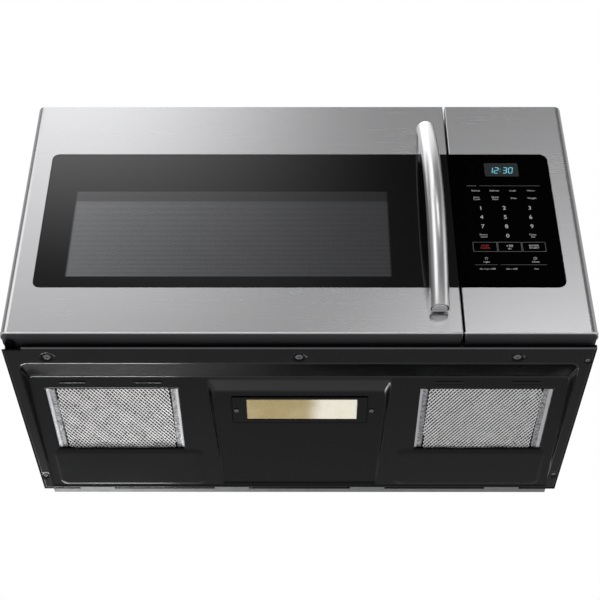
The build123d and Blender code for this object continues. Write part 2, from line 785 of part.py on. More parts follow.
def pocket_form(grow):
    low_front = (-pocket_half, pocket_half, pocket_front, main_height(pocket_front) - 0.01)
    low_back = (-pocket_end_half, pocket_end_half, floor_back - 3, main_height(floor_back - 3) - 0.01)
    inner = pocket_half - pocket_run
    high_front = (-inner, inner, pocket_floor_front, pocket_rise)
    high_back = (-pocket_end_half + 1, pocket_end_half - 1, floor_back - 6, pocket_height(floor_back - 6))
    return pressed_form(low_front, low_back, high_front, high_back, 10, grow)


def filter_tray_form(side, grow):
    """Shallow pressed field round one filter opening."""
    x = tray_x
    if side < 0:
        x = (-tray_x[1], -tray_x[0])
    ends = (floor_front + 4, floor_back - 3)
    low_front = (x[0], x[1], ends[0], main_height(ends[0]) - 0.01)
    low_back = (x[0], x[1], ends[1], main_height(ends[1]) - 0.01)
    high_front = (x[0] + 2, x[1] - 2, ends[0] + 3, main_height(ends[0] + 3) + tray_rise)
    high_back = (x[0] + 2, x[1] - 2, ends[1] - 3, main_height(ends[1] - 3) + tray_rise)
    return pressed_form(low_front, low_back, high_front, high_back, 12, grow)


def dimple(x, y, radius, height):
    """Round pressing that takes a screw head, as its raised side and its hollow side."""
    raised = rod((x, y, 0), radius + sheet, height + sheet)
    hollow = Cone(radius, radius - 1, height, align=(Align.CENTER, Align.CENTER, Align.MIN))
    return raised, Pos(x, y, 0) * hollow


def make_base_pan():
    """Pressed underside: rim, sloping main floor, lamp pocket and a shallow field round each filter."""
    pan = block((-case_half, case_half), (pan_front, case_back), (0, sheet))
    pan += block((-case_half + pan_notch[0], case_half), (pan_front, pan_front + sheet), (0, pan_lip))
    corner_x = (-case_half - 1, -case_half + pan_notch[0])
    pan -= block(corner_x, (0, pan_front + pan_notch[1]), (-1, pan_lip + 1))
    hollows = [main_form(0), pocket_form(0)]
    pan += main_form(sheet)
    pan += pocket_form(sheet)
    for side in (-1, 1):
        pan += filter_tray_form(side, sheet)
        hollows.append(filter_tray_form(side, 0))
    for x in rim_screw_x:
        raised, hollow = dimple(x, rim_screw_y, dimple_radius, dimple_rise)
        pan += raised
        hollows.append(hollow)
        hollows.append(rod((x, rim_screw_y, 0), screw_shank + shaft_play, 12))
    for x, y in edge_screw:
        raised, hollow = dimple(x, y, edge_dimple_radius, dimple_rise)
        pan += raised
        hollows.append(hollow)
        hollows.append(rod((x, y, 0), screw_shank + shaft_play, 12))
    for hollow in hollows:
        pan -= hollow
    for x in (filter_open_x, (-filter_open_x[1], -filter_open_x[0])):
        pan -= slab_xy(x, filter_open_y, (-1, 40), 2)
    for x in slot_x:
        pan -= slab_xy(x, slot_y, (-1, 40), 2)
    pan -= slab_xy((lens_x[0] - 3, lens_x[1] + 3), (lens_y[0] - 2, lens_y[1] + 2), (5, 40), 3)
    for x in tab_x:
        pan -= block((x - 0.6, x + tab_width + 0.6), (case_back - 5.2, case_back + 1), (-1, 6))
    for side in (-1, 1):
        pan -= rod((side * (case_half - edge_hole_inset), case_back - 3.6, -1), edge_hole_radius, 4)
    pan += filter_rails()
    for x, y in lamp_screw_places():
        pan -= on_pocket * rod((x, y, -2), lamp_screw_shank + shaft_play, 6)
    return pan


# ---- grease filters ----
def filter_size():
    """Size of a filter across X and down the slope, and its place above the floor sheet."""
    x = (filter_open_x[0] - filter_lap, filter_open_x[1] + filter_lap)
    y = along_main((filter_open_y[0] - filter_lap, filter_open_y[1] + filter_lap))
    bottom = tray_rise + sheet + seat
    return x, y, (bottom, bottom + filter_thickness)


def filter_rails():
    """Four folded rails that hold the filters up against the floor at their front and back edges."""
    x, y, z = filter_size()
    rails = Part()
    for side in (-1, 1):
        limits = (x[0], x[1]) if side > 0 else (-x[1], -x[0])
        foot = z[0] - sheet - seat
        for edge, inward in ((y[0], 1), (y[1], -1)):
            wall = tuple(sorted((edge - inward * body_play, edge - inward * (body_play + sheet))))
            rails += on_main * block(limits, wall, (foot, z[1] + seat + sheet))
            lip = tuple(sorted((edge - inward * body_play, edge + inward * filter_grip)))
            rails += on_main * block(limits, lip, (z[1] + seat, z[1] + seat + sheet))
    return rails


def make_grease_filter(side):
    """Mesh in a folded frame, as one slab that is thinner inside the frame."""
    x, y, z = filter_size()
    if side < 0:
        x = (-x[1], -x[0])
    body = slab_xy(x, y, z, 3)
    mesh_x = shrink(x, filter_border[0])
    mesh_y = shrink(y, filter_border[1])
    body -= slab_xy(mesh_x, mesh_y, (z[0] - 1, z[0] + filter_frame_rise), 2)
    body -= slab_xy(mesh_x, mesh_y, (z[1] - filter_frame_rise, z[1] + 1), 2)
    return on_main * body


# ---- cooktop lamp ----
def lamp_screw_places():
    """Screws of the lamp cover, in the pocket's own directions."""
    return ((-86.5, along_pocket((186.5,))[0]), (99.5, along_pocket((188.5,))[0]))


def make_lamp_cover():
    y = along_pocket(lamp_y)
    cover = slab_xy(lamp_x, y, (-sheet, 0), 2)
    cover -= slab_xy(lens_x, along_pocket(lens_y), (-5, 5), 2)
    place = lamp_screw_places()[0]
    cover -= rod((place[0], place[1], -3), 1.8, 6)
    return on_pocket * cover


def make_lamp_lens():
    x = shrink(lens_x, 0.4)
    y = shrink(along_pocket(lens_y), 0.4)
    lens = slab_xy(x, y, (-0.8, 1.4), 2)
    flange_x = (lens_x[0] - 2, lens_x[1] + 2)
    flange_y = along_pocket((lens_y[0] - 1.2, lens_y[1] + 1.2))
    lens += slab_xy(flange_x, flange_y, (0.1, 1.4), 2)
    return on_pocket * lens


def make_lamp_holder():
    y = along_pocket((lens_y[0] - 7, lens_y[1] + 7))
    z = (sheet, sheet + holder_depth)
    holder = slab_xy(holder_x, y, z, 4)
    holder -= slab_xy(shrink(holder_x, thin_sheet), shrink(y, thin_sheet), (z[0] - 1, z[1] - thin_sheet), 3)
    return on_pocket * holder


def make_cooktop_bulbs():
    """Two candelabra bulbs, each with its base against an end wall of the holder."""
    middle = sum(along_pocket(lens_y)) / 2
    radius, length = bulb_glass
    bulbs = []
    for inward, wall, turn in ((1, holder_x[0] + thin_sheet, RIGHT), (-1, holder_x[1] - thin_sheet, LEFT)):
        neck = wall + inward * bulb_base[1]
        bulb = rod((wall, middle, bulb_height), bulb_base[0], bulb_base[1], turn)
        bulb += rod((neck, middle, bulb_height), radius, length, turn)
        bulb += Pos(neck + inward * length, middle, bulb_height) * Sphere(radius)
        bulbs.append(on_pocket * bulb)
    return Compound(bulbs)


# ---- screws ----
def make_cabinet_screws():
    screws = []
    for x in rim_screw_x:
        screws.append(screw((x, rim_screw_y, 0.2), UP, screw_head, 2.2, screw_shank, 6))
    for x, y in edge_screw:
        screws.append(screw((x, y, 0.2), UP, edge_screw_head, 2.2, screw_shank, 6))
    for x, z in rear_screw_places():
        screws.append(screw((x, case_back + 2.0, z), FORWARD, 4.2, 2.0, screw_shank, 8))
    for place, under in zip(lamp_screw_places(), (sheet, 0)):
        lamp_screw = screw((*place, -under - 2.0), UP, edge_screw_head, 2.0, lamp_screw_shank, 6 + under)
        screws.append(on_pocket * lamp_screw)
    return Compound(screws)


# ---- cavity ----
def make_oven_cavity():
    """Welded cavity with the waveguide on its right wall, and the holes for light and steam."""
    outer_x = (cavity_x[0] - thin_sheet, cavity_x[1] + thin_sheet)
    outer_z = (cavity_z[0] - thin_sheet, cavity_z[1] + thin_sheet)
    cavity = slab_xz(outer_x, (frame_back, cavity_back + thin_sheet), outer_z, cavity_corner + thin_sheet)
    cavity -= slab_xz(cavity_x, (frame_back - 1, cavity_back), cavity_z, cavity_corner)
    guide = block((cavity_x[1] + 0.5, guide_x), guide_y, guide_z)
    guide -= block((cavity_x[1], guide_x - sheet), shrink(guide_y, sheet), shrink(guide_z, sheet))
    cavity += guide
    cavity -= block((cavity_x[1] - 1, cavity_x[1] + 3), guide_port_y, guide_port_z)
    cavity -= rod((guide_x - 3, antenna[0], antenna[1]), antenna_radius + 1.5, 6, RIGHT)
    cavity -= rod((cavity_mid_x, cavity_mid_y, cavity_z[0] - 3), coupler_stem + body_play, 6)
    for row in range(6):
        for column in range(8):
            z = light_z - 15 + row * 6
            right_hole = (cavity_x[1] - 2, light_y - 21 + column * 6, z)
            left_hole = (cavity_x[0] - 3, cavity_mid_y + 48 + column * 8, z)
            cavity -= rod(right_hole, light_hole_radius, 5, RIGHT)
            cavity -= rod(left_hole, vent_hole_radius, 5, RIGHT)
    return cavity


def make_waveguide_cover():
    y = (guide_port_y[0] - 18, guide_port_y[1] + 18)
    z = (guide_port_z[0] - 16, guide_port_z[1] + 16)
    lift = cavity_x[1] - 0.1
    plate = Rot(*RIGHT) * extrude(RectangleRounded(z[1] - z[0], y[1] - y[0], 3), amount=mica_sheet)
    return Pos(lift - mica_sheet, sum(y) / 2, sum(z) / 2) * plate


def make_component_shelf():
    x = (bay_left, inner_half)
    shelf = block(x, (frame_back, rear_front), (shelf_top - sheet, shelf_top))
    shelf += block(x, (frame_back, frame_back + sheet), (shelf_top - 12, shelf_top))
    shelf += block(x, (rear_front - sheet, rear_front), (shelf_top - 12, shelf_top))
    for step in range(6):
        y = (cavity_mid_y - 2 + step * 14, cavity_mid_y + 3 + step * 14)
        shelf -= block((inner_half - 32, inner_half - 7), y, (shelf_top - 3, shelf_top + 1))
    return shelf


def make_vent_grille():
    """Moulded grille in the top of the case, behind the front."""
    lip_top = case_top + sheet
    rim_y = (grille_y[0] - 2.4, grille_y[1] + 4)
    grille = block(shrink(grille_x, -4), rim_y, (case_top, lip_top))
    grille += block(shrink(grille_x, seat), shrink(grille_y, seat), (case_top - 14, lip_top))
    wall = 2.0
    inner_x = shrink(grille_x, seat + wall)
    inner_y = shrink(grille_y, seat + wall)
    grille -= block(inner_x, inner_y, (case_top - 15, case_top - 1.4))
    slots = 28
    pitch = (inner_x[1] - inner_x[0]) / slots
    for step in range(slots):
        left = inner_x[0] + step * pitch + 2
        grille -= slab_xy((left, left + pitch - 4), shrink(inner_y, 1), (case_top - 3, lip_top + 1), 1.5)
    return grille


def make_charcoal_filter():
    x = (-200.0, 200.0)
    y = (90.0, 102.0)
    z = (cavity_z[1] + thin_sheet, under_case_top - 1)
    element = block(x, y, z)
    element -= block(shrink(x, 10), (y[0] - 1, y[0] + 2), shrink(z, 8))
    element -= block(shrink(x, 10), (y[1] - 2, y[1] + 1), shrink(z, 8))
    return element


# ---- exhaust ----
def make_exhaust_adaptor():
    """Flange on the case and the rectangular collar that a duct slides over."""
    half = (collar_x / 2, collar_y / 2)
    top = case_top + sheet + collar_height
    flange = block(
        (-half[0] - collar_flange, half[0] + collar_flange),
        (collar_depth - half[1] - collar_flange, collar_depth + half[1] + collar_flange),
        (case_top, case_top + sheet),
    )
    collar = block((-half[0], half[0]), (collar_depth - half[1], collar_depth + half[1]), (case_top, top))
    wall = (half[0] - thin_sheet, half[1] - thin_sheet)
    collar -= block(
        (-wall[0], wall[0]),
        (collar_depth - wall[1], collar_depth + wall[1]),
        (case_top + sheet, top + 1),
    )
    adaptor = flange + collar
    mouth = (half[0] - 6, half[1] - 6)
    adaptor -= block(
        (-mouth[0], mouth[0]),
        (collar_depth - mouth[1], collar_depth + mouth[1]),
        (case_top - 1, case_top + 5),
    )
    y, z = flap_axis()
    adaptor -= rod((-half[0] - 1, y, z), flap_pin + shaft_play, 4, RIGHT)
    adaptor -= rod((half[0] + 1, y, z), flap_pin + shaft_play, 4, LEFT)
    return adaptor


def flap_axis():
    """Depth and height of the damper's hinge pins."""
    return collar_depth + collar_y / 2 - thin_sheet - flap_inset, case_top + sheet + flap_lift


def make_damper_flap():
    """Plate that lies shut across the collar and lifts in the blower's air."""
    y, z = flap_axis()
    x = (-collar_x / 2 + thin_sheet + body_play, collar_x / 2 - thin_sheet - body_play)
    front = collar_depth - collar_y / 2 + thin_sheet + body_play
    plate = block(x, (front, y), (z - flap_sheet / 2, z + flap_sheet / 2))
    plate += rod((x[0], y, z), flap_barrel, x[1] - x[0], RIGHT)
    pin_reach = thin_sheet + body_play
    plate += rod((x[0] - pin_reach, y, z), flap_pin, pin_reach + 1, RIGHT)
    plate += rod((x[1] + pin_reach, y, z), flap_pin, pin_reach + 1, LEFT)
    return plate


# ---- vent blower ----
def make_blower_housing():
    """Two scroll housings with side inlets and top outlets, joined by the motor's saddle."""
    inner = wheel_radius + wheel_gap
    z = (cavity_z[1] + thin_sheet, under_case_top)
    housing = Part()
    for side in (-1, 1):
        middle = side * wheel_offset
        half = wheel_length / 2 + 3
        x = (middle - half - thin_sheet, middle + half + thin_sheet)
        y = (collar_depth - inner - thin_sheet, collar_depth + inner + thin_sheet)
        shell = block(x, y, z)
        shell -= rod((middle - half, collar_depth, blower_z), inner, 2 * half, RIGHT)
        throat_y = (collar_depth - 20, collar_depth + inner - 2)
        shell -= block((middle - half, middle + half), throat_y, (blower_z, z[1] + 1))
        shell -= rod((x[0] - 1, collar_depth, blower_z), wheel_radius - 8, x[1] - x[0] + 2, RIGHT)
        housing += shell
    reach = wheel_offset - wheel_length / 2 - 3
    saddle_top = blower_z - blower_motor_radius * 0.8
    saddle = block((-reach, reach), (collar_depth - 28, collar_depth + 28), (z[0], saddle_top))
    saddle -= rod((-reach - 1, collar_depth, blower_z), blower_motor_radius, 2 * reach + 2, RIGHT)
    return housing + saddle


def make_blower_motor():
    """Round motor that lies in the saddle between the two housings."""
    reach = wheel_offset - wheel_length / 2 - 10
    motor = rod((-reach, collar_depth, blower_z), blower_motor_radius, 2 * reach, RIGHT)
    motor = fillet(motor.edges().filter_by(GeomType.CIRCLE), 4)
    motor += rod((-reach - 5, collar_depth, blower_z), 9, 2 * reach + 10, RIGHT)
    bore = rod((-reach - 9, collar_depth, blower_z), blower_shaft + shaft_play, 2 * reach + 18, RIGHT)
    return motor - bore


def make_blower_wheels():
    """Both squirrel-cage wheels on their shaft."""
    reach = wheel_offset + wheel_length / 2 - 4
    rotor = rod((-reach, collar_depth, blower_z), blower_shaft, 2 * reach, RIGHT)
    for side in (-1, 1):
        left = side * wheel_offset - wheel_length / 2
        axle = (left, collar_depth, blower_z)
        near = side * (wheel_offset - wheel_length / 2)
        far = side * (wheel_offset + wheel_length / 2)
        outward = RIGHT if side > 0 else LEFT
        inward = LEFT if side > 0 else RIGHT
        wheel = rod((near, collar_depth, blower_z), wheel_radius, 2, outward)
        wheel += rod((near, collar_depth, blower_z), 10, 14, outward)
        ring = rod((far, collar_depth, blower_z), wheel_radius, 3, inward)
        wheel += ring - rod((far, collar_depth, blower_z), wheel_radius - 6, 5, inward)
        blade = block((0, wheel_length), (wheel_radius - 6.5, wheel_radius - 0.5), (-0.6, 0.6))
        for step in range(blade_count):
            turn = Pos(*axle) * Rot(step * 360 / blade_count, 0, 0)
            wheel += turn * blade
        rotor += wheel
    return rotor


# ---- cooling fan ----
def make_fan_shroud():
    """Plate with the fan's ring, two struts for its motor and a foot on the shelf."""
    x = (fan_x - fan_half, fan_x + fan_half)
    z = (shelf_top, fan_z + fan_half)
    shroud = block(x, (fan_plane + 12, fan_plane + 13.2), z)
    shroud += rod((fan_x, fan_plane - 4, fan_z), fan_radius + 4.2, 17.2, BACK)
    shroud -= rod((fan_x, fan_plane - 5, fan_z), fan_radius + 3, 20, BACK)
    for side in (-1, 1):
        middle = fan_z + side * 30
        shroud += block(shrink(x, 8), (fan_plane + 13.2, fan_plane + 16.2), (middle - 4, middle + 4))
    foot = block(x, (fan_plane + 12, fan_plane + 30), (shelf_top, shelf_top + sheet))
    return shroud + foot


def make_fan_motor():
    """Laminated core with one coil, on the shroud's struts."""
    core = block((fan_x - 30, fan_x + 30), (fan_plane + 16.2, fan_plane + 34), (fan_z - 36, fan_z + 36))
    window = block((fan_x - 18, fan_x + 18), (fan_plane + 16, fan_plane + 40), (fan_z - 30, fan_z - 18))
    core -= window
    coil_z = (fan_z - 33.5, fan_z - 17)
    core += slab_xz((fan_x - 16, fan_x + 16), (fan_plane + 16.4, fan_plane + 39), coil_z, 4)
    core += rod((fan_x, fan_plane + 10, fan_z), 8, 30, BACK)
    return core - rod((fan_x, fan_plane + 9, fan_z), fan_shaft + shaft_play, 32, BACK)


def make_fan_blade():
    """Hub and paddles on the shaft that runs through the motor."""
    blade = rod((fan_x, fan_plane - 6, fan_z), 13, 14, BACK)
    for step in range(fan_paddles):
        paddle = Pos(31, 0, 0) * Rot(32, 0, 0) * Box(44, 22, 1.8)
        turned = Rot(*BACK) * Rot(0, 0, step * 360 / fan_paddles) * paddle
        blade += Pos(fan_x, fan_plane + 1, fan_z) * turned
    blade &= rod((fan_x, fan_plane - 20, fan_z), fan_radius, 40, BACK)
    return blade + rod((fan_x, fan_plane, fan_z), fan_shaft, 38, BACK)


# ---- high-voltage and control pieces ----
def make_magnetron():
    """Anode with cooling fins in a steel yoke, filter box outside, antenna reaching into the waveguide."""
    left = guide_x
    y, z = antenna
    yoke = block((left, left + 78), (y - 42, y + 42), (z - 38, z + 38))
    yoke -= block((left + 2, left + 76), (y - 43, y + 43), (z - 36, z + 36))
    core = rod((left + 1, y, z), 20, 76, RIGHT)
    for step in range(6):
        x = left + 18 + step * 8
        core += block((x, x + 0.8), (y - 38, y + 38), (z - 36.5, z + 36.5))
    core += rod((left + 1.5, y, z), 28, 13, RIGHT)
    core += rod((left + 63.5, y, z), 28, 13, RIGHT)
    core += block((left + 77, left + 104), (y - 24, y + 24), (z - 22, z + 22))
    core += block((left + 104, left + 112), (y - 8, y + 8), (z - 14, z + 14))
    core += rod((left - 22, y, z), antenna_radius, 24, RIGHT)
    return yoke + core


def make_transformer():
    """Laminated core with a winding through both windows, on a foot plate."""
    x = (seam_x + 6, seam_x + 114)
    y = (frame_back + 29, frame_back + 95)
    core_z = (shelf_top + 2, shelf_top + 86)
    plate = block((x[0] - 2, x[1] + 2), (y[0] - 4, y[1] + 4), (shelf_top, shelf_top + 2))
    core = block(x, y, core_z)
    middle_z = sum(core_z) / 2
    for offset in (-34, 22):
        window = (middle_z + offset, middle_z + offset + 14)
        core -= block(shrink(x, 14), (y[0] - 1, y[1] + 1), window)
    wound = slab_xz(shrink(x, 15), (y[0] - 15, y[1] + 15), (middle_z - 33, middle_z + 35), 8)
    hollow = slab_xz(shrink(x, 28), (y[0] - 16, y[1] + 16), (middle_z - 19, middle_z + 21), 3)
    return plate + core + (wound - hollow)


def make_capacitor():
    """Oval can with two terminals, and the diode that bridges it to the shelf."""
    x = inner_half - 25
    y = frame_back + 51
    can = slab_xy((x - 16.5, x + 16.5), (y - 26, y + 26), (shelf_top, shelf_top + 88), 16)
    for offset in (-10, 10):
        blade_y = (y + offset - 3, y + offset + 3)
        can += block((x - 1, x + 0.5), blade_y, (shelf_top + 87, shelf_top + 98))
    diode = rod((x, y + 30, shelf_top + 5), 3.5, 18, BACK)
    diode += rod((x, y + 25, shelf_top + 5), 1, 30, BACK)
    diode += block((x - 6.5, x + 6.5), (y + 51, y + 67), (shelf_top, shelf_top + 1.5))
    diode += block((x - 2.5, x + 2.5), (y + 53, y + 57), (shelf_top, shelf_top + 6))
    return can + diode


def make_control_board():
    """Upright board behind the keys, with the display module, relays and a transformer."""
    x = (seam_x + 19, seam_x + 157)
    z = (front_bottom + 50, front_top - 47)
    card = block(x, (16.0, 17.6), z)
    display_mid = ((display_x[0] + display_x[1]) / 2, (display_z[0] + display_z[1]) / 2)
    half = (30, 15)
    card += block(
        (display_mid[0] - half[0], display_mid[0] + half[0]),
        (6.0, 16.5),
        (display_mid[1] - half[1], display_mid[1] + half[1]),
    )
    for column in range(3):
        left = x[0] + 10 + column * 24
        card += block((left, left + 18), (17, 31), (z[0] + 30, z[0] + 58))
    card += block((x[1] - 46, x[1] - 6), (17, 33), (z[0] + 20, z[0] + 65))
    card += block((x[0] + 12, x[0] + 47), (17, 27), (z[0] + 90, z[0] + 98))
    card += block((x[0] + 57, x[0] + 117), (17, 27), (z[0] + 90, z[0] + 98))
    for across, height in ((22, 140), (47, 145), (72, 140)):
        card += rod((x[0] + across, 17, z[0] + height), 6, 14, BACK)
    return card


def make_control_panel_body():
    """Moulding behind the control glass, with posts for the board."""
    x = (panel_left + skin_sheet + seat, half_width - skin_sheet - seat)
    z = (front_bottom + 0.2, front_top - 0.2)
    bend = front_corner - skin_sheet - seat
    body = front_body(x, z, (skin_return + 0.2, frame_front), seat, bend)
    pocket = ((panel_left - 1, glass_right - 0.2), (0, glass_set_back + glass_thickness + 0.1))
    body -= block(pocket[0], pocket[1], shrink((glass_bottom, glass_top), 0.2))
    body -= block(shrink(x, 4), (6.0, frame_front + 1), shrink(z, 4))
    body -= slab_xz((display_x[0] - 4, display_x[1] + 4), (0, 8), (display_z[0] - 4, display_z[1] + 4), 2)
    for x_post in (seam_x + 27, seam_x + 149):
        for z_post in (front_bottom + 56, front_top - 53):
            body += rod((x_post, 5, z_post), 4, 11, BACK)
    return body


def make_noise_filter_board():
    """Board on four feet, with a choke ring, a capacitor and a relay."""
    z = shelf_top + 8
    left = seam_x + 9
    front = frame_back + 133
    card = block((left, left + 104), (front, front + 70), (z, z + 1.6))
    for x in (left + 6, left + 98):
        for y in (front + 6, front + 64):
            card += rod((x, y, shelf_top), 3, 8.5)
    card += block((left + 10, left + 34), (front + 10, front + 28), (z + 1, z + 26))
    ring_place = (left + 67, front + 35)
    card += rod((*ring_place, z + 1), 15, 14) - rod((*ring_place, z), 7, 20)
    card += rod((left + 22, front + 52, z + 1), 8, 24)
    return card


def switch_heights():
    """Bottom of each interlock switch: one at each hook, and the monitor above the lower one."""
    return (hook_z[0] - 7.0, hook_z[1] - 7.0, hook_z[0] + 24.0)


def make_latch_board():
    """Angle on the front frame that the switches sit on."""
    z = (hook_z[0] - 18, hook_z[1] + 40)
    plate = block(board_x, (frame_back, switch_y[1] + 4), z)
    plate += block((switch_x[0] - 3, board_x[1]), (frame_back, frame_back + 2), z)
    for hook in hook_z:
        slot_x_limits, slot_z_limits = latch_slot(hook, 3.0)
        plate -= block(slot_x_limits, (frame_back - 1, frame_back + 3), slot_z_limits)
    for height in switch_heights():
        pin = (board_x[0] - 3.5, switch_mid_y, height + switch_height / 2)
        plate += rod(pin, 1.5, 5, RIGHT)
    return plate


def make_interlock_switches():
    """Three microswitches, each with a seat for its button and two terminals."""
    switches = []
    for height in switch_heights():
        body = block(switch_x, switch_y, (height, height + switch_height))
        body -= rod((switch_x[0] + 5, switch_mid_y, height + switch_height / 2), 1.8, 12, RIGHT)
        pocket_z = (height + button_z[0] - button_play, height + button_z[1] + button_play)
        body -= block(shrink(button_x, -button_play), (switch_y[0] - 1, switch_y[0] + 5), pocket_z)
        for pin in (4, 24):
            low = height + pin
            blade_x = (switch_x[0] + 6, switch_x[0] + 7)
            body += block(blade_x, (switch_y[1] - 0.5, switch_y[1] + 8), (low - 2.5, low + 1.5))
        switches.append(body)
    return Compound(switches)


def make_plunger(height):
    """Button of one switch, standing just short of the latch hook's tip."""
    z = (height + button_z[0], height + button_z[1])
    return block(button_x, (hook_reach + button_gap, switch_y[0] + 3.4), z)


def make_thermal_cutouts():
    """Two round cutouts on the roof of the cavity, with their terminals."""
    foot = cavity_z[1] + thin_sheet
    cutouts = []
    x = cavity_x[1] - cutout_inset
    for y in (frame_back + cutout_front, collar_depth - cutout_room):
        piece = rod((x, y, foot), 8.5, 7)
        piece += block((x - 14, x + 14), (y - 4, y + 4), (foot, foot + 1))
        for side in (-1, 1):
            middle = x + side * 5
            piece += block((middle - 2.5, middle + 2.5), (y - 0.4, y + 0.4), (foot + 6, foot + 15))
        cutouts.append(piece)
    return Compound(cutouts)


def make_oven_lamp():
    """Bulb and its holder behind the punched light holes in the right wall of the cavity."""
    x, y, z = bay_left, light_y, light_z
    cover = block((x, x + 42), (y - 26, y + 26), (z - 20, z + 22))
    cover -= block((x - 1, x + 41), (y - 25, y + 25), (z - 19, z + 21))
    glass = rod((x + 29, y, z), lamp_radius, lamp_glass_length, LEFT)
    glass = fillet(glass.edges().group_by(Axis.X)[0], lamp_radius * 0.7)
    return cover + rod((x + 41.5, y, z), 8, 13, LEFT) + glass


def make_cord_grommet():
    """Grommet in the top of the case, with a groove for the sheet and a bore for the cord."""
    x, y = cord_place
    grommet = rod((x, y, under_case_top - 6), cord_hole_radius - 0.2, 12)
    grommet += rod((x, y, case_top), cord_hole_radius + 4, 3)
    grommet += rod((x, y, under_case_top - 6), cord_hole_radius + 1.5, 5.6)
    return grommet - rod((x, y, under_case_top - 8), cord_bore_radius, 20)


# ---- turntable ----
def make_turntable_motor():
    """Flat geared motor under the cavity's floor."""
    top = cavity_z[0] - thin_sheet
    motor = rod((cavity_mid_x, cavity_mid_y, top - motor_height), motor_radius, motor_height)
    for side in (-1, 1):
        x = cavity_mid_x + side * (motor_radius + 4)
        motor += slab_xy((x - 6, x + 6), (cavity_mid_y - 6, cavity_mid_y + 6), (top - 1.5, top), 4)
    motor += block(
        (cavity_mid_x - 8, cavity_mid_x + 8),
        (cavity_mid_y + motor_radius - 3, cavity_mid_y + motor_radius + 10),
        (top - motor_height + 2, top - 6),
    )
    return motor - rod((cavity_mid_x, cavity_mid_y, top - 16), coupler_stem + shaft_play, 20)


def make_turntable_coupler():
    """Shaft from the motor and the three-lobed hub that turns the tray."""
    bottom = cavity_z[0] + body_play
    coupler = rod((cavity_mid_x, cavity_mid_y, bottom), coupler_radius, tray_under - seat - bottom)
    lobe_z = (axle_height - 1, tray_under - seat)
    for step in range(3):
        lobe = slab_xy((0, 20), (-4.5, 4.5), lobe_z, 3)
        coupler += Pos(cavity_mid_x, cavity_mid_y, 0) * Rot(0, 0, 30 + step * 120) * lobe
    stem_bottom = cavity_z[0] - thin_sheet - 15
    return coupler + rod((cavity_mid_x, cavity_mid_y, stem_bottom), coupler_stem, bottom - stem_bottom + 1)


def make_glass_tray():
    """Round glass dish with a raised rim, and three lugs under it that the coupler turns."""
    rim_run = 17.0
    wall = 4.0
    flat = tray_radius - rim_run
    top = tray_under + tray_thickness
    outline = Polyline(
        (0, tray_under),
        (flat, tray_under),
        (tray_radius, tray_under + tray_rim),
        (tray_radius, top + tray_rim - 1),
        (tray_radius - wall, top + tray_rim - 1),
        (flat - 2, top),
        (0, top),
        close=True,
    )
    section = Plane.XZ * make_face(outline)
    dish = revolve(section, Axis.Z, 360)
    rim_edges = dish.edges().filter_by(GeomType.CIRCLE).group_by(Axis.Z)[-1]
    dish = fillet(rim_edges, 1.2)
    for step in range(3):
        lug = slab_xy((13, 19), (-4, 4), (tray_under - 6, tray_under + 1), 1.5)
        dish += Rot(0, 0, 90 + step * 120) * lug
    return Pos(cavity_mid_x, cavity_mid_y, 0) * dish


def make_roller_ring():
    """Ring with three spokes, and an axle at each for one roller."""
    z = (axle_height - 4, axle_height + 3.5)
    ring = rod((0, 0, z[0]), ring_radius + ring_half, z[1] - z[0])
    ring -= rod((0, 0, z[0] - 1), ring_radius - ring_half, z[1] - z[0] + 2)
    hub = rod((0, 0, z[0]), 29, 5) - rod((0, 0, z[0] - 1), 23.5, 7)
    ring += hub
    for step in range(roller_count):
        turn = Rot(0, 0, 90 + step * 360 / roller_count)
        ring += turn * block((28, ring_radius - ring_half + 1), (-5, 5), (z[0], z[0] + 3))
        end = roller_circle + roller_width / 2
        ring += turn * rod((ring_radius, 0, axle_height), roller_axle, end + 1.6 - ring_radius, RIGHT)
        ring += turn * rod((end + 0.5, 0, axle_height), roller_axle + 1.2, 1.4, RIGHT)
    return Pos(cavity_mid_x, cavity_mid_y, 0) * ring


def make_roller(step):
    """One small wheel on the ring's axle, turned to its place round the ring."""
    left = roller_circle - roller_width / 2
    wheel = rod((left, 0, axle_height), roller_radius, roller_width, RIGHT)
    wheel = fillet(wheel.edges().filter_by(GeomType.CIRCLE), 0.8)
    wheel -= rod((left - 1, 0, axle_height), roller_axle + shaft_play, roller_width + 2, RIGHT)
    turn = Rot(0, 0, 90 + step * 360 / roller_count)
    return Pos(cavity_mid_x, cavity_mid_y, 0) * turn * wheel


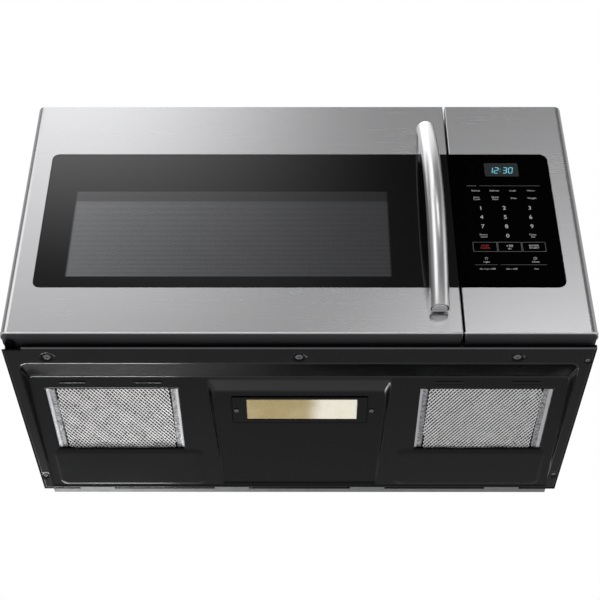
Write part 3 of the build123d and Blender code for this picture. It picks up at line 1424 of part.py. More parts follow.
# ---- every piece, by name ----
def build():
    os.makedirs("parts", exist_ok=True)
    write("door_skin", make_door_skin())
    write("door_glass", make_door_glass())
    write("door_frame", make_door_frame())
    write("choke_frame", make_choke_frame())
    write("inner_window", make_inner_window())
    write("choke_cover", make_choke_cover())
    write("latch_key", make_latch_key())
    write("latch_spring", make_latch_spring())
    write("handle_bar", make_handle_bar())
    write("handle_end_caps", make_handle_end_caps())
    write("handle_posts", make_handle_posts())
    write("door_hinges", make_door_hinges())
    write("control_panel_skin", make_control_panel_skin())
    write("control_panel_body", make_control_panel_body())
    write("control_glass", make_control_glass())
    write("display_lens", make_display_lens())
    write("control_board", make_control_board())
    write("outer_case", make_outer_case())
    write("front_frame", make_front_frame())
    write("rear_panel", make_rear_panel())
    write("wall_plate", make_wall_plate())
    write("base_pan", make_base_pan())
    write("left_grease_filter", make_grease_filter(-1))
    write("right_grease_filter", make_grease_filter(1))
    write("lamp_cover", make_lamp_cover())
    write("lamp_lens", make_lamp_lens())
    write("lamp_holder", make_lamp_holder())
    write("cooktop_bulbs", make_cooktop_bulbs())
    write("cabinet_screws", make_cabinet_screws())
    write("oven_cavity", make_oven_cavity())
    write("waveguide_cover", make_waveguide_cover())
    write("component_shelf", make_component_shelf())
    write("vent_grille", make_vent_grille())
    write("charcoal_filter", make_charcoal_filter())
    write("exhaust_adaptor", make_exhaust_adaptor())
    write("damper_flap", make_damper_flap())
    write("blower_housing", make_blower_housing())
    write("blower_motor", make_blower_motor())
    write("blower_wheels", make_blower_wheels())
    write("fan_shroud", make_fan_shroud())
    write("fan_motor", make_fan_motor())
    write("fan_blade", make_fan_blade())
    write("magnetron", make_magnetron())
    write("high_voltage_transformer", make_transformer())
    write("high_voltage_capacitor", make_capacitor())
    write("noise_filter_board", make_noise_filter_board())
    write("latch_board", make_latch_board())
    write("interlock_switches", make_interlock_switches())
    for name, height in zip(("lower_switch_plunger", "upper_switch_plunger"), switch_heights()):
        write(name, make_plunger(height))
    write("thermal_cutouts", make_thermal_cutouts())
    write("oven_lamp", make_oven_lamp())
    write("cord_grommet", make_cord_grommet())
    write("turntable_motor", make_turntable_motor())
    write("turntable_coupler", make_turntable_coupler())
    write("glass_tray", make_glass_tray())
    write("roller_ring", make_roller_ring())
    for step in range(roller_count):
        write("roller_" + str(step + 1), make_roller(step))


build()
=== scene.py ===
import math

import bmesh
import bpy
import mathutils
import numpy as np
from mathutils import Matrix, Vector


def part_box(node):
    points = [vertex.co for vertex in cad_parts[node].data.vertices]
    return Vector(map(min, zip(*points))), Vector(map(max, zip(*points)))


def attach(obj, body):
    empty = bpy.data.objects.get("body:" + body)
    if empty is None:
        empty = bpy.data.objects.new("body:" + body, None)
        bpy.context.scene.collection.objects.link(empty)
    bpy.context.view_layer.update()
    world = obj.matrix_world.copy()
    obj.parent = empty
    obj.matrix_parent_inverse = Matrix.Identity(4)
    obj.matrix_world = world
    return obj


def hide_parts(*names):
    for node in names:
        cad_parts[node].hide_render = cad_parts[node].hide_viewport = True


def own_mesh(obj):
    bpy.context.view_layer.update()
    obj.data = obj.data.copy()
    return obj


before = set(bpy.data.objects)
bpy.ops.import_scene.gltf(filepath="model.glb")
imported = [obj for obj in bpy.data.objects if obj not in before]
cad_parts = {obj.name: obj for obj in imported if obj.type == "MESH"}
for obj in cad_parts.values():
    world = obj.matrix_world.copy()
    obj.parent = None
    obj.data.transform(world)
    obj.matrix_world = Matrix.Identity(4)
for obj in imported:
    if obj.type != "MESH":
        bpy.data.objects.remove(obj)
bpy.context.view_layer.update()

# Over-the-range microwave oven, in metres, in the part's own frame: X to the right, Y back into the
# kitchen wall, Z up from the rim of the base pan. Depths are measured back from the door's face.

FACE_Y = -0.1621    # the door's face
# How far out the middle of each filter lies, and how far from there its end channels are folded.
CHANNEL_MIDDLE, CHANNEL_FOLD = 0.2514, 0.0849
WINDOW_X, WINDOW_Z, SCREEN_PITCH = (-0.307, 0.122), (0.101, 0.253), 0.0022
CHOKE_LEDGE = (0.2325, 0.2345)
# Where a lighter line is painted along the pan's front fold, as a painted highlight.
FOLD_HIGHLIGHT_Y, FOLD_HIGHLIGHT_Z = (-0.1418, -0.1409), (0.0009, 0.0018)       # the pan's front fold

# ---- meshes


def joined(*measures):
    """Places from arrays of their measures, stretched to the shape that these have together."""
    return np.stack(np.broadcast_arrays(*measures), -1)


def unit(vectors):
    return vectors / np.linalg.norm(vectors, axis=-1, keepdims=True)


def grid_faces(rows, columns, closed=False):
    """Corner numbers of the quads of a grid: one quad between each four neighbours, and across the
    seam where each row is closed on itself."""
    i = np.arange(rows - 1)[:, None] * columns
    j = np.arange(columns if closed else columns - 1)
    beside = (j + 1) % columns
    return joined(i + j, i + beside, i + columns + beside, i + columns + j).reshape(-1, 4)


def linked(name, data):
    """New object in the scene."""
    made = bpy.data.objects.new(name, data)
    bpy.context.scene.collection.objects.link(made)
    return made


def piece(name, places, faces, material, body, smooth=True):
    """Object from whole arrays of places and faces (all with the same number of corners)."""
    mesh = bpy.data.meshes.new(name)
    places = np.asarray(places, np.float32).reshape(-1, 3)
    faces = np.asarray(faces, np.int32)
    mesh.vertices.add(len(places))
    mesh.vertices.foreach_set("co", places.ravel())
    mesh.loops.add(faces.size)
    mesh.loops.foreach_set("vertex_index", faces.ravel())
    mesh.polygons.add(len(faces))
    mesh.polygons.foreach_set("loop_start", np.arange(len(faces), dtype=np.int32) * faces.shape[1])
    mesh.polygons.foreach_set("use_smooth", np.full(len(faces), smooth))
    mesh.update(calc_edges=True)
    mesh.validate()
    mesh.materials.append(material)
    made = linked(name, mesh)
    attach(made, body)
    return made


def thicken(made, thickness, offset):
    """Gives a thin sheet its wall."""
    wall = made.modifiers.new("wall", "SOLIDIFY")
    wall.thickness, wall.offset = thickness, offset


def weld(made):
    """Closes the seams and poles of a swept piece and turns its faces outwards."""
    work = bmesh.new()
    work.from_mesh(made.data)
    bmesh.ops.remove_doubles(work, verts=work.verts, dist=0.00001)
    bmesh.ops.dissolve_degenerate(work, edges=work.edges, dist=0.000001)
    bmesh.ops.recalc_face_normals(work, faces=work.faces)
    work.to_mesh(made.data)
    work.free()
    return made


def tube(name, places, material, body, smooth=True):
    """Welded piece from rings of places, each ring closed on itself."""
    return weld(piece(name, places, grid_faces(*places.shape[:2], True), material, body, smooth))


# ---- nodes


class Value:
    """Output of a node. Sums, differences, products and quotients with it are math nodes."""

    def __init__(self, nodes, socket):
        self.nodes, self.socket = nodes, socket

    def __add__(self, other):
        return self.nodes.math("ADD", self, other)

    def __sub__(self, other):
        return self.nodes.math("SUBTRACT", self, other)

    def __rsub__(self, other):
        return self.nodes.math("SUBTRACT", other, self)

    def __mul__(self, other):
        return self.nodes.math("MULTIPLY", self, other)

    def __truediv__(self, other):
        return self.nodes.math("DIVIDE", self, other)

    def ranged(self, low, high, to_low=0.0, to_high=1.0, kind="LINEAR"):
        """Goes from to_low to to_high while this one goes from low to high."""
        node = self.nodes.add("MapRange", {"interpolation_type": kind})
        return self.nodes.fill(node, (self, low, high, to_low, to_high))

    def eased(self, low, high, to_low=0.0, to_high=1.0):
        """The same, with a gentle start and end."""
        return self.ranged(low, high, to_low, to_high, "SMOOTHSTEP")

    def between(self, a, b):
        """One number turned into another as this one goes from 0 to 1."""
        return (b - a) * self + a


class Nodes:
    """Short hand for the nodes of one material, group or world, with the place or direction shaded."""

    def __init__(self, tree):
        self.tree, self.place = tree, None

    def connect(self, target, value):
        if isinstance(value, Value):
            self.tree.links.new(value.socket, target)
        else:
            target.default_value = value

    def feed(self, node, **inputs):
        """Sets or connects inputs by name, with an underscore for each space."""
        for key, value in inputs.items():
            self.connect(node.inputs[key.replace("_", " ")], value)

    def fill(self, node, values):
        """Sets or connects the first inputs, in order."""
        for target, value in zip(node.inputs, values):
            self.connect(target, value)
        return Value(self, node.outputs[0])

    def add(self, kind, settings=None, **inputs):
        node = self.tree.nodes.new("ShaderNode" + kind)
        for key, value in (settings or {}).items():
            setattr(node, key, value)
        self.feed(node, **inputs)
        return node

    def out(self, output, kind, settings=None, **inputs):
        """One output of a new node."""
        return Value(self, self.add(kind, settings, **inputs).outputs[output])

    def math(self, operation, *values, clamp=False):
        return self.fill(self.add("Math", {"operation": operation, "use_clamp": clamp}), values)

    def mix(self, share, dark, light):
        """Colour between two. The node's colours are its inputs 6 and 7 and its output 2."""
        node = self.add("Mix", {"data_type": "RGBA"})
        for index, value in ((0, share), (6, dark), (7, light)):
            self.connect(node.inputs[index], (*value, 1.0) if isinstance(value, tuple) else value)
        return Value(self, node.outputs[2])

    def noise(self, scale, detail=2.0, roughness=0.5, stretch=None):
        vector = self.out(0, "Mapping", Vector=self.place, Scale=stretch) if stretch else self.place
        return self.out("Fac", "TexNoise", Vector=vector, Scale=scale, Detail=detail, Roughness=roughness)

    def axes(self):
        """The three measures of the place."""
        return [Value(self, axis) for axis in self.add("SeparateXYZ", Vector=self.place).outputs]


def node_group(name, label, start, build):
    """Group with a vector and a named number going in, and what build makes of them coming out."""
    tree = bpy.data.node_groups.new(name, "ShaderNodeTree")

    def socket(label, way, kind):
        return tree.interface.new_socket(label, in_out=way, socket_type="NodeSocket" + kind)

    socket("Vector", "INPUT", "Vector")
    socket(label, "INPUT", "Float").default_value = start
    nodes = Nodes(tree)
    entry = tree.nodes.new("NodeGroupInput").outputs
    nodes.place = Value(nodes, entry["Vector"])
    results = build(nodes, Value(nodes, entry[label]))
    for key in results:
        socket(key, "OUTPUT", "Float")
    nodes.feed(tree.nodes.new("NodeGroupOutput"), **results)
    return tree


def build_grain(nodes, depth):
    """Fine parallel scratches: noise stretched a hundredfold along one direction, and a few longer marks."""
    fine = nodes.noise(3.0, 3.0, 0.6, (6.0, 900.0, 900.0))
    long_marks = nodes.noise(3.0, stretch=(1.4, 220.0, 220.0))
    both = fine * 0.65 + long_marks * 0.35
    return {"Height": both * depth, "Tone": both}


def build_coat(nodes, size):
    """Orange-peel paint: fine noise for the skin, broad noise for slow changes of tone."""
    return {"Height": nodes.noise(size, 3.0, 0.6), "Mottle": nodes.noise(9.0, 3.0)}


def build_marks(nodes, amount):
    """Faint wiped streaks and dust: two broad noises multiplied, one of them stretched."""
    cloud = nodes.noise(14.0, 4.0, 0.6)
    wiped = nodes.noise(1.0, 3.0, 0.6, (4.0, 30.0, 60.0))
    return {"Mask": cloud.eased(0.45, 0.75) * wiped.eased(0.4, 0.8) * amount}


brushed_grain = node_group("brushed_grain", "Depth", 1.0, build_grain)
powder_coat = node_group("powder_coat", "Size", 900.0, build_coat)
handling_marks = node_group("handling_marks", "Amount", 0.3, build_marks)

# ---- materials


class Paint(Nodes):
    """Material with one Principled shader, whose constant values are set on its sockets."""

    def __init__(self, name, **sockets):
        self.made = bpy.data.materials.new(name)
        self.made.use_nodes = True
        super().__init__(self.made.node_tree)
        self.shader = self.tree.nodes["Principled BSDF"]
        self.feed(self.shader, **sockets)
        self.place = self.out("Object", "TexCoord")

    def use(self, group, vector=None, **values):
        """Outputs of a node group."""
        node = self.add("Group", {"node_tree": group}, Vector=vector or self.place, **values)
        return [Value(self, output) for output in node.outputs]

    def bump(self, height, distance, strength=1.0):
        return self.out(0, "Bump", Height=height, Strength=strength, Distance=distance)

    def finish(self, colour, **sockets):
        """Material with its colour and other sockets connected."""
        self.feed(self.shader, Base_Color=colour, **sockets)
        return self.made


def brushed_steel(name, dark, light, rough, turn=0.0, shine=0.0, stretch=0.0):
    """Brushed stainless steel, with its grain along X or, turned, along Z."""
    paint = Paint(name, Metallic=1.0, Anisotropic=shine, Anisotropic_Rotation=stretch)
    turned = paint.out(0, "Mapping", Vector=paint.place, Rotation=(0.0, turn, 0.0))
    height, tone = paint.use(brushed_grain, turned)
    marks = paint.use(handling_marks, Amount=0.25)[0]
    return paint.finish(
        paint.mix(tone.ranged(0.3, 0.7), dark, light),
        Roughness=tone.ranged(0.3, 0.7, rough - 0.005, rough + 0.005) + marks * 0.05,
        Normal=paint.bump(height, 0.00002, 0.009),
        Tangent=paint.out(0, "Tangent", {"direction_type": "RADIAL", "axis": "Z"}))


def painted(name, dark, light, rough, size=900.0, skin=0.00005, painted_fold_highlight=False, **more):
    """Powder-coated or enamelled steel, which may have a lighter line painted along the pan's front fold as
    a painted highlight.
    """
    paint = Paint(name, **more)
    height, mottle = paint.use(powder_coat, Size=size)
    marks = paint.use(handling_marks, Amount=0.35)[0]
    colour = paint.mix(mottle, dark, light)
    # Painted highlight: a lighter line along the pan's front fold, where the fold catches light.
    if painted_fold_highlight:
        _, y, z = paint.axes()
        fold_highlight = y.eased(*FOLD_HIGHLIGHT_Y, 1.0, 0.0) * z.eased(*FOLD_HIGHLIGHT_Z, 1.0, 0.0)
        colour = paint.mix(fold_highlight, colour, (0.13, 0.13, 0.14))
    base = mottle.ranged(0.3, 0.7, rough - 0.02, rough + 0.03)
    return paint.finish(colour, Roughness=base + marks * 0.12, Normal=paint.bump(height, skin, 0.6))


def moulded(name, dark, light, rough, **more):
    """Moulded plastic with a fine spark-eroded texture."""
    return painted(name, dark, light, rough, 1600.0, 0.00003, **more)


def zinc_sheet():
    """Galvanised steel: crystals of spangle from cells, each a little lighter or darker."""
    paint = Paint("galvanised", Metallic=0.55, Specular_IOR_Level=0.3)
    cells = paint.out("Distance", "TexVoronoi", Vector=paint.place, Scale=90.0)
    share = cells * 0.6 + paint.noise(20.0, 3.0) * 0.5
    return paint.finish(paint.mix(share, (0.17, 0.175, 0.18), (0.27, 0.275, 0.28)),
                        Roughness=share.ranged(0.2, 0.8, 0.3, 0.48))


def black_glass(name, shine, colour_of):
    """Tinted glass with black print behind it, its colour given by colour_of; on the door this also holds
    the screen behind the glass, painted in with a painted reflection.
    """
    paint = Paint(name, IOR=1.5, Specular_IOR_Level=shine)
    marks = paint.use(handling_marks, Amount=0.5)[0]
    return paint.finish(colour_of(paint), Roughness=marks.ranged(0.0, 1.0, 0.05, 0.14))


def panel_print(paint):
    return paint.mix(paint.noise(3.0), (0.0004, 0.0004, 0.0005), (0.0009, 0.0009, 0.001))


def door_print_and_reflection(paint):
    """Where the window is left clear, the punched screen behind the glass is painted in as a fine field of
    dots, darker above the ledge of the choke and lighter towards the left, a painted reflection."""
    x, _, z = paint.axes()

    def inside(value, low, high, edge):
        return value.eased(low, low + edge) * value.eased(high - edge, high, 1.0, 0.0)

    window = inside(x, *WINDOW_X, 0.004) * inside(z, *WINDOW_Z, 0.002)
    row = z / SCREEN_PITCH
    odd = paint.math("MODULO", paint.math("FLOOR", row), 2.0) * 0.5
    dx = paint.math("FRACT", x / SCREEN_PITCH + odd) - 0.5
    dz = paint.math("FRACT", row) - 0.5
    web = paint.math("SQRT", dx * dx + dz * dz).eased(0.3, 0.4)
    # Painted reflection: the dots grow lighter towards the left, as the glass's reflection of a bright
    # surround.
    reflection_leftward = x.ranged(-0.31, 0.13, 1.0, 0.0)
    tone = web * z.eased(*CHOKE_LEDGE, 1.0, 0.4) * (reflection_leftward * reflection_leftward * 0.8 + 0.25)
    screen = paint.mix(tone, (0.01, 0.01, 0.011), (0.29, 0.296, 0.31))
    return paint.mix(window, (0.0035, 0.0035, 0.004), screen)


def clear_glass(name, tint, rough, weight=1.0):
    """Glass or clear film, with a faint cloud in its tint."""
    paint = Paint(name, IOR=1.48, Transmission_Weight=weight)
    tone = paint.noise(60.0)
    return paint.finish(paint.mix(tone, tint, tuple(min(1.0, c * 1.04) for c in tint)),
                        Roughness=tone.ranged(0.3, 0.7, rough, rough + 0.03))


def bare_metal(name, dark, light, rough, metal=1.0):
    """Bare or plated metal, streaked along its rolling direction."""
    paint = Paint(name, Metallic=metal)
    rolled = paint.noise(2.0, 3.0, stretch=(40.0, 400.0, 400.0))
    share = rolled * 0.5 + paint.noise(35.0, 3.0) * 0.5
    return paint.finish(paint.mix(share, dark, light),
                        Roughness=share.ranged(0.3, 0.7, rough - 0.05, rough + 0.06))


def channel_sheet():
    """Folded aluminium, smooth on each channel's outer half and crimped on its inner half, which is darker,
    darkest in the hollows of its crimps as a painted shade.
    """
    paint = Paint("channel_aluminium", Metallic=1.0, Roughness=0.32)
    x = paint.axes()[0]
    across = paint.math("ABSOLUTE", paint.math("ABSOLUTE", x) - CHANNEL_MIDDLE)
    inner = across.eased(CHANNEL_FOLD - 0.0005, CHANNEL_FOLD + 0.0005, 1.0, 0.0)
    rolled = paint.noise(2.0, 3.0, stretch=(400.0, 40.0, 400.0))
    crimps = paint.noise(1.0, 3.0, stretch=(260.0, 420.0, 420.0))
    smooth = paint.mix(rolled, (0.5, 0.505, 0.52), (0.66, 0.665, 0.68))
    # Painted shade: the inner half is darkest where the crimps' bump sinks.
    rough = paint.mix(crimps.ranged(0.35, 0.65), (0.1, 0.1, 0.105), (0.52, 0.525, 0.54))
    return paint.finish(paint.mix(inner, smooth, rough), Normal=paint.bump(crimps, 0.0004))


def fibre_board():
    """Green circuit board with lighter tracks from a stepped noise."""
    paint = Paint("fibre_board", Roughness=0.45)
    tracks = paint.noise(2.0, 1.0, stretch=(60.0, 60.0, 240.0))
    return paint.finish(paint.mix(tracks.ranged(0.5, 0.53), (0.01, 0.06, 0.03), (0.03, 0.16, 0.07)))


def felt():
    """Charcoal felt: fibres from a fine noise, in colour and in relief."""
    paint = Paint("carbon_felt", Roughness=0.95)
    fibres = paint.noise(1400.0, 4.0, 0.7)
    return paint.finish(paint.mix(fibres, (0.006, 0.006, 0.006), (0.05, 0.05, 0.05)),
                        Normal=paint.bump(fibres, 0.0006))


def printed(name, colour, glow=0.0):
    """Screen-printed ink, a little uneven, that may glow."""
    paint = Paint(name, Roughness=0.55)
    tone = paint.mix(paint.noise(900.0), tuple(0.9 * c for c in colour), colour)
    if glow:
        paint.feed(paint.shader, Emission_Color=tone, Emission_Strength=glow)
    return paint.finish(tone)


def lens_with_painted_glow():
    """Frosted amber lens over the lamps, milky and light towards its right end, a painted reflection of the
    reflector behind it, and given a painted glow all over.
    """
    paint = Paint("lens_with_painted_glow", IOR=1.49)
    x = paint.axes()[0]
    cloud = paint.noise(26.0, 3.0)
    # Painted reflection and painted glow: the right end is made light and the whole lens emits, though no
    # lamp in the scene lights it.
    painted_reflection = paint.math("ADD", x.eased(0.006, 0.034), (cloud - 0.5) * 0.5, clamp=True)
    warm = paint.mix(cloud, (0.45, 0.335, 0.135), (0.57, 0.445, 0.215))
    tone = paint.mix(painted_reflection, warm, (0.93, 0.88, 0.74))
    return paint.finish(tone, Emission_Color=tone, Emission_Strength=painted_reflection.ranged(0.0, 1.0, 0.13, 0.26),
                        Roughness=cloud.ranged(0.3, 0.7, 0.22, 0.34))


def dress(made, names):
    """Puts a material on the named CAD pieces in place of their own."""
    for name in names.split():
        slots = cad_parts[name].data.materials
        slots.clear()
        slots.append(made)
    return made


dress(
    brushed_steel("stainless", (0.522, 0.522, 0.532), (0.542, 0.542, 0.552), 0.27, shine=0.55, stretch=0.25),
    "door_skin control_panel_skin")
upright_steel = dress(
    brushed_steel("stainless_upright", (0.62, 0.62, 0.63), (0.7, 0.7, 0.71), 0.31, math.pi / 2, 0.2),
    "handle_bar handle_posts")
# Painted highlight: the same stainless made much lighter, so the rolled lips show as bright lines.
lip_highlight_steel = brushed_steel("lip_highlight_steel", (0.78, 0.78, 0.79), (0.88, 0.88, 0.89), 0.36)
# Polished cap, and a painted highlight: its steel is made lighter than the bar's so the end face shows
# bright.
tip_highlight_steel = dress(brushed_steel("tip_steel_painted_highlight", (0.86, 0.86, 0.87), (0.94, 0.94, 0.95), 0.22),
                 "handle_end_caps")
dress(black_glass("door_glass_black", 0.5, door_print_and_reflection), "door_glass")
panel_black = dress(black_glass("panel_glass_black", 0.03, panel_print), "control_glass")
dress(painted("display_grey", (0.022, 0.024, 0.027), (0.028, 0.03, 0.034), 0.3, Specular_IOR_Level=0.15),
      "display_lens")
black_paint = dress(
    painted("black_paint", (0.0022, 0.0024, 0.0029), (0.0034, 0.0037, 0.0044), 0.14, skin=0.00002,
            painted_fold_highlight=True, Specular_IOR_Level=0.12),
    "base_pan lamp_cover door_hinges")
dress(painted("case_paint", (0.01, 0.01, 0.011), (0.016, 0.016, 0.017), 0.45, 500.0, 0.00009),
      "outer_case front_frame")
dress(zinc_sheet(),
      "rear_panel wall_plate component_shelf exhaust_adaptor damper_flap blower_housing lamp_holder")
dress(painted("cavity_enamel", (0.5, 0.5, 0.48), (0.62, 0.62, 0.6), 0.34, 700.0, 0.00004), "oven_cavity")
dress(painted("choke_enamel", (0.03, 0.03, 0.032), (0.05, 0.05, 0.052), 0.4), "choke_frame")
dress(moulded("rail_black", (0.042, 0.042, 0.045), (0.052, 0.052, 0.055), 0.4, Specular_IOR_Level=0.15),
      "door_frame control_panel_body")
black_plastic = dress(
    moulded("black_plastic", (0.01, 0.01, 0.011), (0.018, 0.018, 0.019), 0.42),
    "vent_grille fan_shroud fan_blade blower_wheels interlock_switches "
    "lower_switch_plunger upper_switch_plunger")
dress(moulded("grey_plastic", (0.06, 0.06, 0.062), (0.09, 0.09, 0.092), 0.45),
      "choke_cover latch_board latch_key")
dress(moulded("white_plastic", (0.62, 0.61, 0.58), (0.74, 0.73, 0.7), 0.42),
      "turntable_coupler roller_ring roller_1 roller_2 roller_3")
dress(moulded("rubber", (0.012, 0.012, 0.012), (0.02, 0.02, 0.02), 0.7), "cord_grommet")
screw_steel = dress(bare_metal("screw_steel", (0.1, 0.1, 0.105), (0.22, 0.22, 0.23), 0.2),
                    "cabinet_screws latch_spring")
mesh_aluminium = bare_metal("mesh_aluminium", (0.9, 0.9, 0.91), (0.98, 0.98, 0.98), 0.4, 0.45)
# Painted shade: the filters' body behind the mesh is made nearly black, so the holes of the mesh show dark.
dress(bare_metal("filter_core_painted_shade", (0.008, 0.008, 0.009), (0.02, 0.02, 0.022), 0.6),
      "left_grease_filter right_grease_filter")
dress(bare_metal("plated_steel", (0.45, 0.45, 0.44), (0.62, 0.62, 0.6), 0.34),
      "magnetron high_voltage_capacitor thermal_cutouts turntable_motor blower_motor")
channel_aluminium = channel_sheet()
dress(clear_glass("lens_glass", (0.62, 0.52, 0.32), 0.3, 0.2), "lamp_lens")
dress(clear_glass("bulb_glass", (0.9, 0.87, 0.8), 0.35, 0.6), "cooktop_bulbs oven_lamp")
dress(clear_glass("tray_glass", (0.9, 0.95, 0.93), 0.02), "glass_tray")
dress(clear_glass("window_film", (0.75, 0.75, 0.76), 0.05), "inner_window")
dress(painted("mica", (0.42, 0.36, 0.26), (0.6, 0.53, 0.4), 0.6, 300.0, 0.0001), "waveguide_cover")
dress(painted("laminations", (0.05, 0.05, 0.052), (0.12, 0.12, 0.12), 0.5, 300.0, 0.0002),
      "high_voltage_transformer fan_motor")
dress(fibre_board(), "control_board noise_filter_board")
dress(felt(), "charcoal_filter")
print_white = printed("print_white", (0.66, 0.66, 0.67))
print_grey = printed("print_grey", (0.17, 0.17, 0.18))
print_red = printed("print_red", (0.46, 0.02, 0.03))
clock_blue = printed("clock_blue", (0.12, 0.52, 0.62), 0.9)
lens_painted_glow = lens_with_painted_glow()

# ---- shapes shared by the pieces


def smooth_least(a, b, blend):
    """Lower of two heights, rounded where they meet: least minus a parabola as wide as the blend."""
    near = np.clip(1.0 - np.abs(a - b) / blend, 0.0, 1.0)
    return np.minimum(a, b) - near * near * blend * 0.25


def eased(value, low, high):
    """Smooth step from 0 at low to 1 at high."""
    share = np.clip((value - low) / (high - low), 0.0, 1.0)
    return share * share * (3.0 - 2.0 * share)


def within(value, limits):
    return (value > limits[0]) & (value < limits[1])


def inside_rounded(x, y, x_limits, y_limits, corner):
    """Distance inside a rectangle with round corners, negative outside it."""
    dx = np.abs(x - sum(x_limits) / 2) - (x_limits[1] - x_limits[0]) / 2 + corner
    dy = np.abs(y - sum(y_limits) / 2) - (y_limits[1] - y_limits[0]) / 2 + corner
    outside = np.hypot(np.maximum(dx, 0.0), np.maximum(dy, 0.0))
    return corner - outside - np.minimum(np.maximum(dx, dy), 0.0)


def spaced(low, high, step, exact, fine):
    """Grid lines from low to high: even ones, finer ones in some ranges, and exact ones at the edges
    of openings. An even line that comes near an exact one gives way to it."""
    lines = np.linspace(low, high, int((high - low) / step) + 1)
    for start, stop, small in fine:
        lines = np.hstack([lines[(lines < start) | (lines > stop)], np.arange(start, stop, small)])
    exact = np.unique(exact)
    clear = np.abs(lines[:, None] - exact).min(1) > 0.0005
    return np.unique(np.hstack([lines[clear], exact]))


def strips(starts, ends, width, thickness, tilt):
    """Many short flat bars as one mesh: each has four long faces, its width tilted about its own line."""
    run = unit(ends - starts)
    side = unit(np.cross((0, 0, 1), run))
    over = np.cross(run, side)
    cosine, sine = np.cos(tilt)[:, None], np.sin(tilt)[:, None]
    flat = side * cosine + over * sine
    normal = over * cosine - side * sine
    places = np.stack([end + flat * (a * width / 2) + normal * (b * thickness / 2)
                       for end in (starts, ends) for a, b in ((-1, -1), (1, -1), (1, 1), (-1, 1))], 1)
    faces = np.array([(0, 4, 5, 1), (1, 5, 6, 2), (2, 6, 7, 3), (3, 7, 4, 0)])
    first = (np.arange(len(starts)) * 8)[:, None, None]
    return places.reshape(-1, 3), (first + faces).reshape(-1, 4)


# ---- pressed underside

RIM_FRONT, RIM_BACK = 0.019, 0.376
CASE_HALF = 0.3785
FLOOR_FRONT, FLOOR_BACK = 0.103, 0.366
FLOOR_RISE, FLOOR_END = 0.014, 0.001
RAMP_FRONT, RAMP_CORNER, FORM_BACK, FORM_HALF = 0.0527, 0.013, 0.368, 0.3635
POCKET_FRONT, POCKET_FLOOR, POCKET_BACK = 0.109, 0.146, 0.363
POCKET_HALF, POCKET_END_HALF, POCKET_RISE, POCKET_END = 0.125, 0.112, 0.02, 0.0025
SIDE_STEEP, END_STEEP, CHEEK_STEEP, MOUTH_STEEP = 3.0, 0.7, 1.6, 1.5    # rise over run
FIELD_X, FIELD_Y, FIELD_RISE, FIELD_CORNER = (0.138, 0.352), (0.2745, 0.364), -0.001, 0.012
FILTER_X, FILTER_Y = (0.163, 0.342), (0.13, 0.2715)
SLOT_X = ((-0.32, -0.285), (-0.219, -0.183), (0.1825, 0.2185), (0.2845, 0.3225))
SLOT_Y, SLOT_DROP, SLOT_SLOPE = (0.1125, 0.1187), 0.0013, 0.275
SLOT_LIP = 0.0006
LENS_X, LENS_Y = (-0.073, 0.08), (0.1635, 0.2085)
LENS_HOLE_X, LENS_HOLE_Y = (-0.076, 0.083), (0.1615, 0.2105)
TAB_HOLES, TAB_DEPTH = [(left - 0.0006, left + 0.0516) for left in (-0.325, -0.126, 0.075, 0.274)], 0.3708
NOTCH_X, NOTCH_DEPTH = -0.3535, 0.0225
DIMPLE = 0.0024
RIM_SCREWS = ((-0.3234, 0.0392), (0.0, 0.0392), (0.2798, 0.0392))
EDGE_SCREWS = ((0.371, 0.0464), (0.371, 0.3342), (-0.371, 0.3379))
MAIN_SLOPE = (FLOOR_RISE - FLOOR_END) / (FLOOR_BACK - FLOOR_FRONT)
POCKET_SLOPE = (POCKET_RISE - POCKET_END) / (FLOOR_BACK - POCKET_FLOOR)
PAN_WALL = 0.0011


def main_floor(depth):
    return FLOOR_RISE - MAIN_SLOPE * (depth - FLOOR_FRONT)


def pan_height(x, depth):
    """Height of the pressed sheet. The sloping main floor is the least of five planes: the floor, a
    ramp behind the front rim that starts on a line with round ends, two steep sides and a short back
    edge, each rounded into the next. The lamp pocket is made the same way above it, and stands wherever
    it is higher. Each filter field adds a low step inside a round-cornered outline, each slot a hooded
    louvre, and each screw a dimple."""
    inward = FORM_HALF - np.abs(x)
    bay = np.clip(RAMP_CORNER - inward, 0.0, RAMP_CORNER)
    start = RAMP_FRONT + RAMP_CORNER - np.sqrt(RAMP_CORNER ** 2 - bay ** 2)
    ramp = (depth - start) * FLOOR_RISE / (FLOOR_FRONT - RAMP_FRONT)
    around = smooth_least(ramp, inward * SIDE_STEEP, 0.007)
    around = smooth_least(around, (FORM_BACK - depth) * END_STEEP, 0.002)
    base = main_floor(depth)
    height = -smooth_least(-smooth_least(around, base, 0.0009), 0.0, 0.0008)
    share = (depth - POCKET_FRONT) / (POCKET_BACK - POCKET_FRONT)
    half = POCKET_HALF + (POCKET_END_HALF - POCKET_HALF) * share
    mouth = main_floor(POCKET_FRONT)
    wall = (depth - POCKET_FRONT) / (POCKET_FLOOR - POCKET_FRONT) * (POCKET_RISE - mouth) + mouth
    pocket = smooth_least(wall, base + (half - np.abs(x)) * CHEEK_STEEP, 0.008)
    pocket = smooth_least(pocket, base + (POCKET_BACK - depth) * END_STEEP, 0.003)
    pocket = smooth_least(pocket, POCKET_RISE - POCKET_SLOPE * (depth - POCKET_FLOOR), 0.001)
    pocket = np.minimum(pocket, height + (depth - POCKET_FRONT + 0.004) * MOUTH_STEEP)
    height = -smooth_least(-height, -pocket, 0.0012)
    for sign in (-1, 1):
        field = inside_rounded(sign * x, depth, FIELD_X, FIELD_Y, FIELD_CORNER)
        height += FIELD_RISE * eased(field, -0.0002, 0.005)
    for limits in SLOT_X:
        louvre = (depth - SLOT_Y[0]) * SLOT_SLOPE - SLOT_DROP
        height += np.where(within(x, limits) & within(depth, SLOT_Y), louvre, 0.0)
    for screws, outer, inner in ((RIM_SCREWS, 0.0088, 0.007), (EDGE_SCREWS, 0.0052, 0.004)):
        for place, row in screws:
            height += DIMPLE * eased(np.hypot(x - place, depth - row), outer, inner)
    return height


